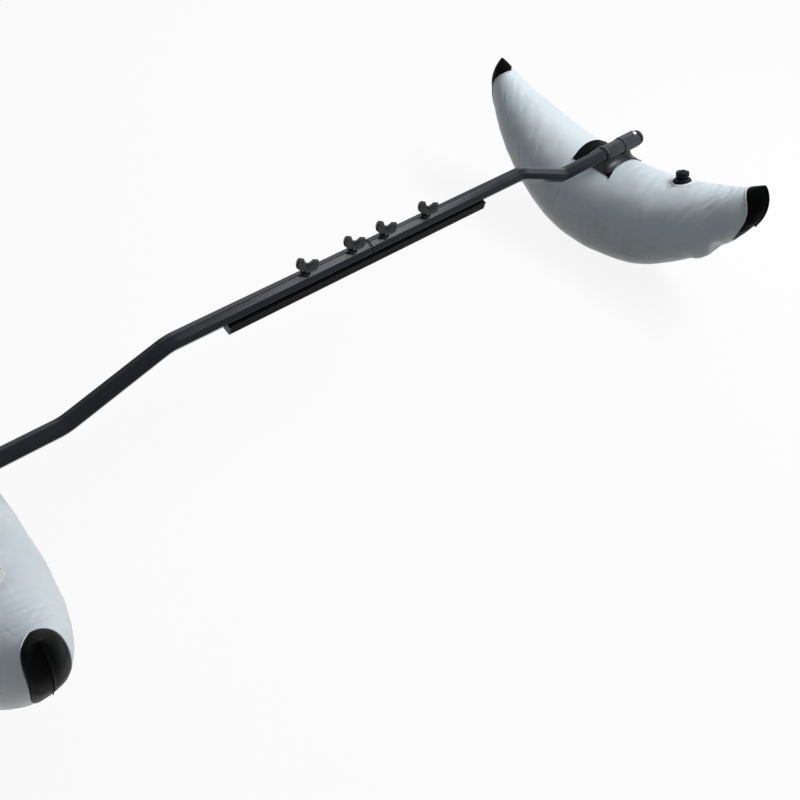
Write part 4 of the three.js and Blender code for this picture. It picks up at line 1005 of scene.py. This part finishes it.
def extruded(outline, hole, start, end):
    """A profile with one hole, drawn out along X, with its end faces filled."""
    edges = eased(outline, RAIL_ROUNDING), eased(hole, CHAMBER_ROUNDING)
    mesh_points, faces, near, far = [], [], [], []
    for edge, inward in zip(edges, (False, True)):
        base, count = len(mesh_points), len(edge)
        mesh_points += [(x, y, z) for x in (start, end) for y, z in edge]
        near += range(base, base + count)
        far += range(base + count, base + 2 * count)
        for j in range(count):
            k = (j + 1) % count
            wall = (base + j, base + k, base + count + k, base + count + j)
            faces.append((wall[0], *wall[:0:-1]) if inward else wall)
    for corner in tessellate_polygon([[Vector((y, z, 0)) for y, z in edge] for edge in edges]):
        faces.append(tuple(near[k] for k in corner))
        faces.append(tuple(far[k] for k in reversed(corner)))
    return mesh_points, faces


satin_black, rail_tree, rail_shader = principled("satin_black_extrusion")
rail_stretch = node(rail_tree, "ShaderNodeMapping", (-1000, 0),
                    {"Vector": mesh_place(rail_tree, (-1200, 0)), "Scale": (3, 900, 900)})
drawn = noise(rail_tree, (-800, 0), Vector=rail_stretch.outputs[0], Scale=1, Detail=4)
# Its edges turn paler grey: partly scuffing, partly a painted highlight where the edges catch the light.
black_with_wear_and_highlight(rail_tree, rail_shader, drawn, drawn,
           ((0.004, 0.0045, 0.0045), (0.016, 0.016, 0.015), (0.07, 0.07, 0.068)),
           rough=(0.32, 0.52), depth=0.00005, gloss=1.12, wear_and_highlight_amount=0.6, Reach=0.0008, Breakup=120.0)

chamber_half = RAIL_WIDTH / 2 - 1.5 * RAIL_WALL
chamber_top = CAVITY_FLOOR - RAIL_WALL
chamber_bottom = -RAIL_HEIGHT + RAIL_WALL
chamber = [(-chamber_half, chamber_bottom), (chamber_half, chamber_bottom),
           (chamber_half, chamber_top), (-chamber_half, chamber_top)]
rail_points, rail_faces = extruded(rail_outline(), chamber, -RAIL_LENGTH / 2, RAIL_LENGTH / 2)
rail_points = in_arm_frame(np.array(rail_points) + (0, 0, RAIL_TOP))
rail = build("slotted_rail", rail_points, rail_faces, 1, satin_black, "crossbar", "rail")
flats_kept_flat(rail)
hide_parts("crossbar_rail")
for side, sign in SIDES:
    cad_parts[f"rail_cap_{side}"].material_slots[0].material = socket_plastic


# Clamps: a steel T-bolt in the slot, a moulded saddle washer astride the tube's edge, and a wing knob
# whose two wings flare up from a conical neck, with a deep notch between them and broad flat faces.

CLAMPS = (("inner", 0.036), ("outer", 0.136))
WASHER, KNOB_SPAN, KNOB_HEIGHT = 0.0015, 0.038, 0.028
KNOB_TURNED = math.radians(-35)
ARM_TOP = ARM_DROP + corner_reach(ARM_FLATS)
STUD_TOP = ARM_TOP + SEAT + WASHER + 0.009
THREAD_PITCH, THREAD_RADIUS, THREAD_ROOT = 0.001, 0.003, 0.0026
WASHER_RADIUS, WASHER_BORE = 0.0085, 0.0035
KNOB_BORE, KNOB_BORE_START, KNOB_BORE_END = 0.0036, -0.004, 0.0098
KNOB_EASING, CLOSE_UP = 0.0003, 0.00002

knob_plastic = black_plastic(
    "knob_plastic", (0.016, 0.018, 0.022), (0.028, 0.031, 0.037),
    rough=(0.14, 0.22), depth=0.00004, gloss=1.42)


def thread_profile():
    """A stud with rolled threads, up from inside the T-bolt's head."""
    low = RAIL_TOP - RAIL_LIP - NUT_HEIGHT - SEAT + 0.0015
    height = RAIL_TOP + 0.004
    profile = [(0.0002, low), (THREAD_RADIUS, low), (THREAD_RADIUS, height)]
    while height < STUD_TOP - 2 * THREAD_PITCH:
        profile += [(THREAD_ROOT, height + THREAD_PITCH * 0.5), (THREAD_RADIUS, height + THREAD_PITCH)]
        height += THREAD_PITCH
    return profile + [(0.0022, STUD_TOP), (0.0002, STUD_TOP)]


def bolt_head():
    """The T-bolt's head: a block in the slot's cavity, with its two lower edges cut off."""
    half, top, cut = 0.0065, RAIL_TOP - RAIL_LIP - SEAT, 0.0015
    low = top - NUT_HEIGHT
    outline = eased([(-half + cut, low), (half - cut, low), (half, low + cut), (half, top),
                     (-half, top), (-half, low + cut)], 0.0005)
    return [np.stack([np.full(len(outline), x), outline[:, 0] * f, low + (outline[:, 1] - low) * f], -1)
            for x, f in ((-0.010, 0.97), (-0.0097, 1), (0.0097, 1), (0.010, 0.97))]


def knob_solid(name, rings):
    return placed(name, new_mesh(name, *lofted(rings)))


def knob_mesh():
    """The knob about its own axis: hub and wings joined into one solid, then bored for the stud."""
    span, height = KNOB_SPAN / 2, KNOB_HEIGHT
    hub = [(0.02, 0), (0.33, 0), (0.36, 0.03), (0.37, 0.12), (0.42, 0.24), (0.46, 0.36), (0.40, 0.47),
           (0.22, 0.52), (0.02, 0.53)]
    wing = [(0.04, 0.04), (0.38, 0.05), (0.90, 0.34), (1.0, 0.52), (0.98, 0.80), (0.84, 1.0), (0.38, 0.98),
            (0.14, 0.66), (0.04, 0.62)]
    flanks = ((-1, 0.6), (-0.45, 0.99), (-0.4, 1), (0.4, 1), (0.45, 0.99), (1, 0.6))
    blank = knob_solid("knob_blank", turned([(r * span, h * height) for r, h in hub], 48)[::-1])
    outline = eased([(x * span, z * height) for x, z in wing], 0.0012, 3)
    middle = outline.mean(axis=0)
    others = []
    for way in (1, -1):
        rings = []
        for y, shrink in flanks:
            ring = middle + (outline - middle) * shrink
            taper = 0.0080 - 0.0016 * ring[:, 1] / height
            rings.append(np.stack([way * ring[:, 0], y * taper, ring[:, 1]], -1))
        others.append((knob_solid("knob_blank", rings if way < 0 else rings[::-1]), "UNION"))
    drill = knob_solid("drill", turned([(KNOB_BORE, KNOB_BORE_START), (KNOB_BORE, KNOB_BORE_END)], 40)[::-1])
    others.append((drill, "DIFFERENCE"))
    for other, operation in others:
        step = blank.modifiers.new(operation.lower(), "BOOLEAN")
        step.object = other
        step.operation = operation
        step.solver = "EXACT"
    corners = blank.modifiers.new("eased_corners", "BEVEL")
    corners.width = KNOB_EASING
    corners.segments = 2
    corners.limit_method = "ANGLE"
    corners.angle_limit = math.radians(35)
    weld = blank.modifiers.new("closed_up", "WELD")
    weld.merge_threshold = CLOSE_UP
    bpy.context.view_layer.update()
    finished = bpy.data.meshes.new_from_object(blank.evaluated_get(bpy.context.evaluated_depsgraph_get()))
    for used in (blank, *(other for other, _ in others)):
        bpy.data.objects.remove(used)
    return np.array([v.co for v in finished.vertices]), [tuple(p.vertices) for p in finished.polygons]


knob_points, knob_faces = knob_mesh()
knob_points = knob_points @ np.array(Matrix.Rotation(KNOB_TURNED, 3, "Z")).T


def saddle_rings():
    """A round washer, flat on top and hollowed below to the tube's two upper faces."""
    along = np.abs(np.sin(np.linspace(0, 2 * math.pi, 64, endpoint=False)))
    lower = ((WASHER_BORE, 0.0002), (0.0037, 0), (0.0050, 0), (0.0065, 0), (0.0078, 0), (0.0083, 0.0001),
             (WASHER_RADIUS, 0.0004))
    rings = [circle(r, np.maximum(-0.0028, -CORNER_SLOPE * r * along) + ease, 64) for r, ease in lower]
    return rings + turned([
        (WASHER_RADIUS, WASHER - 0.0004), (0.0083, WASHER - 0.0001), (0.0080, WASHER), (0.0038, WASHER),
        (0.0036, WASHER - 0.0001), (WASHER_BORE, WASHER - 0.0003)], 64)


bolt_points, bolt_faces = together(lofted(turned(thread_profile(), 28)), lofted(bolt_head()))
ring_points, ring_faces = lofted(saddle_rings(), joined=True)
for side, sign in SIDES:
    for place, x in CLAMPS:
        bolt = build(f"clamp_bolt_{side}_{place}", in_arm_frame(bolt_points + (x, 0, 0)), bolt_faces, sign,
                     brushed_steel, f"arm_{side}", "steel")
        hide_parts(f"t_bolt_{side}_{place}")
        ring = build(f"washer_{side}_{place}", in_arm_frame(ring_points + (x, 0, ARM_TOP + SEAT)), ring_faces,
                     sign, knob_plastic, f"washer_{side}_{place}", "moulded")
        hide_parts(f"clamp_washer_{side}_{place}")
        knob = build(f"wing_knob_{side}_{place}",
                     in_arm_frame(knob_points + (sign * x, 0, ARM_TOP + 2 * SEAT + WASHER)), knob_faces,
                     1, knob_plastic, f"knob_{side}_{place}", "moulded")
        flats_kept_flat(knob)
        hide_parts(f"clamp_knob_{side}_{place}")


# Valve: a skirted black base welded to the crest inside a pale double ring, a sprung core in its
# neck, a screw cap with lugs and a black strap that keeps the cap from being lost.

valve_slope = 2 * (TIP_TOP - FLOAT_CREST) * (VALVE_Y / HALF_LENGTH) / HALF_LENGTH
VALVE_FRAME = (Matrix.Translation((FLOAT_X, VALVE_Y, float(crest_at(VALVE_Y / HALF_LENGTH))))
               @ Matrix.Rotation(math.atan(valve_slope), 4, "X"))
NECK, NECK_BORE, SKIRT_HEIGHT = 0.0095, 0.0075, 0.007
CAP_RISE, TETHER_THICK, TETHER_BORE, TETHER_RADIUS = 0.00375, 0.0014, 0.0100, 0.0134
SKIRT_RADIUS, LUG_RISE, PAIR_RISE = 0.0189, 0.0018, 0.0012
NECK_TOP = SKIRT_HEIGHT + CAP_RISE + 0.00425
CAP_BOTTOM = SKIRT_HEIGHT + SEAT + TETHER_THICK + SEAT
CAP_TOP = NECK_TOP + 0.007


def in_valve_frame(points):
    """Points of the valve's own frame, put where the valve stands on the float."""
    return put_in(VALVE_FRAME, points)


def ring_on_skin(radius, lift, count=96):
    """A ring round the valve that follows the float's surface."""
    spot = in_valve_frame(circle(radius, 0, count))
    return lifted(spot[:, 0], spot[:, 1], np.full(count, lift))


weld_profile = [(19.3, 0.3), (19.3, 1.5), (19.6, 1.75), (20.6, 1.8), (21.3, 1.5), (21.8, 1.0), (22.2, 0.85),
                (22.7, 1.05), (23.2, 1.25), (23.9, 1.2), (24.6, 0.85), (25.3, 0.45), (25.3, 0.3)]
weld_rings = [ring_on_skin(r * MM, h * MM) for r, h in weld_profile]

valve_plastic = black_plastic(
    "valve_plastic", (0.005, 0.0055, 0.0065), (0.010, 0.011, 0.013),
    rough=(0.34, 0.48), depth=0.00003, gloss=1.16)
upper_profile = rounded_profile([
    (SKIRT_RADIUS, 0.0024), (0.0183, 0.0042), (0.0168, 0.0058), (0.0142, 0.0068), (NECK, 0.0071),
    (NECK, NECK_TOP), (NECK_BORE, NECK_TOP), (NECK_BORE, 0.003), (0.0003, 0.003)], 0.0008)
base_rings = [ring_on_skin(0.0006, SEAT), ring_on_skin(0.0187, SEAT), ring_on_skin(SKIRT_RADIUS, 0.0010)]
base_rings += [in_valve_frame(ring) for ring in turned(upper_profile, 96)]


def valve_cap_rings(count=144):
    """A cap under a flat dome, whose side swells into three lugs and a pair that face each other."""
    angle = np.linspace(0, 2 * math.pi, count, endpoint=False)
    lugs = np.maximum(0, np.cos(3 * (angle + math.pi / 4))) ** 0.6
    pair = np.maximum(0, np.cos(angle + math.pi / 4) ** 2) ** 8
    profile = [(0.0003, NECK_TOP + 0.0005, 0), (0.0100, NECK_TOP + 0.0005, 0)]
    profile += [(r, CAP_BOTTOM + h, swell) for r, h, swell in (
        (0.0100, 0, 0), (0.0112, 0, 0), (0.0119, 0.0008, 0.1), (0.0120, 0.0020, 0.45), (0.0120, 0.0026, 0.95),
        (0.0120, 0.0040, 1))]
    profile += [(r, CAP_TOP - h, swell) for r, h, swell in (
        (0.0120, 0.0042, 1), (0.0119, 0.0018, 1), (0.0117, 0.0008, 0.85), (0.0112, 0.0003, 0.5),
        (0.0104, 0.0001, 0.1), (0.0092, 0, 0), (0.0074, 0, 0), (0.0003, 0, 0))]
    swell_out = LUG_RISE * lugs + PAIR_RISE * pair
    return [circle(r + swell * swell_out, h, count) for r, h, swell in profile]


def grip_bar():
    """A rounded bar across the cap's top, a little narrower upwards."""
    outline = eased([(-0.009, -0.0021), (0.009, -0.0021), (0.009, 0.0021), (-0.009, 0.0021)], 0.0018, 5)
    rings = []
    for height, draw in ((-0.002, 1.06), (0.0008, 1.0), (0.0016, 0.96), (0.0020, 0.85)):
        across, along = outline.T * draw
        rings.append(np.stack([across, along, np.full(len(outline), CAP_TOP + height)], -1))
    return rings


def tether_parts():
    """A loose ring under the cap, with a strap that bends down to the weld ring."""
    low = SKIRT_HEIGHT + SEAT
    top = low + TETHER_THICK
    ring = rounded_profile([
        (TETHER_BORE, low + 0.0005), (TETHER_BORE, low), (TETHER_RADIUS, low), (TETHER_RADIUS, top),
        (TETHER_BORE, top), (TETHER_BORE, low + 0.0005)], 0.0004)[:-1]
    middle = low + 0.0007
    path = [(-0.0120, middle), (-0.0165, middle), (-0.0195, middle - 0.0003), (-0.0212, middle - 0.0016),
            (-0.0219, middle - 0.0034), (-0.0220, 0.0021)]
    outline = eased([(-0.002, -0.0007), (0.002, -0.0007), (0.002, 0.0007), (-0.002, 0.0007)], 0.0004)
    strap = carried([Vector(p) for p in path], outline)
    return together(lofted(turned(ring, 56), joined=True), lofted(strap))


base_form = lofted(base_rings)
lid_points, lid_faces = together(lofted(valve_cap_rings()), lofted(grip_bar()))
strap_points, strap_faces = tether_parts()
for side, sign in SIDES:
    weld = build(f"valve_ring_{side}", *lofted(weld_rings, joined=True), sign,
                 pale_weld, f"arm_{side}", "weld")
    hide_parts(f"valve_weld_{side}")
    base = build(f"valve_skirt_{side}", *base_form, sign, valve_plastic, f"arm_{side}", "moulded")
    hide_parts(f"valve_base_{side}")
    lid = build(f"valve_lid_{side}", in_valve_frame(lid_points), lid_faces, sign,
                valve_plastic, f"cap_{side}", "moulded")
    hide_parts(f"valve_cap_{side}")
    strap = build(f"valve_strap_{side}", in_valve_frame(strap_points), strap_faces, sign,
                  valve_plastic, f"tether_{side}", "moulded")
    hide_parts(f"valve_tether_{side}")
    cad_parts[f"valve_core_{side}"].material_slots[0].material = valve_plastic
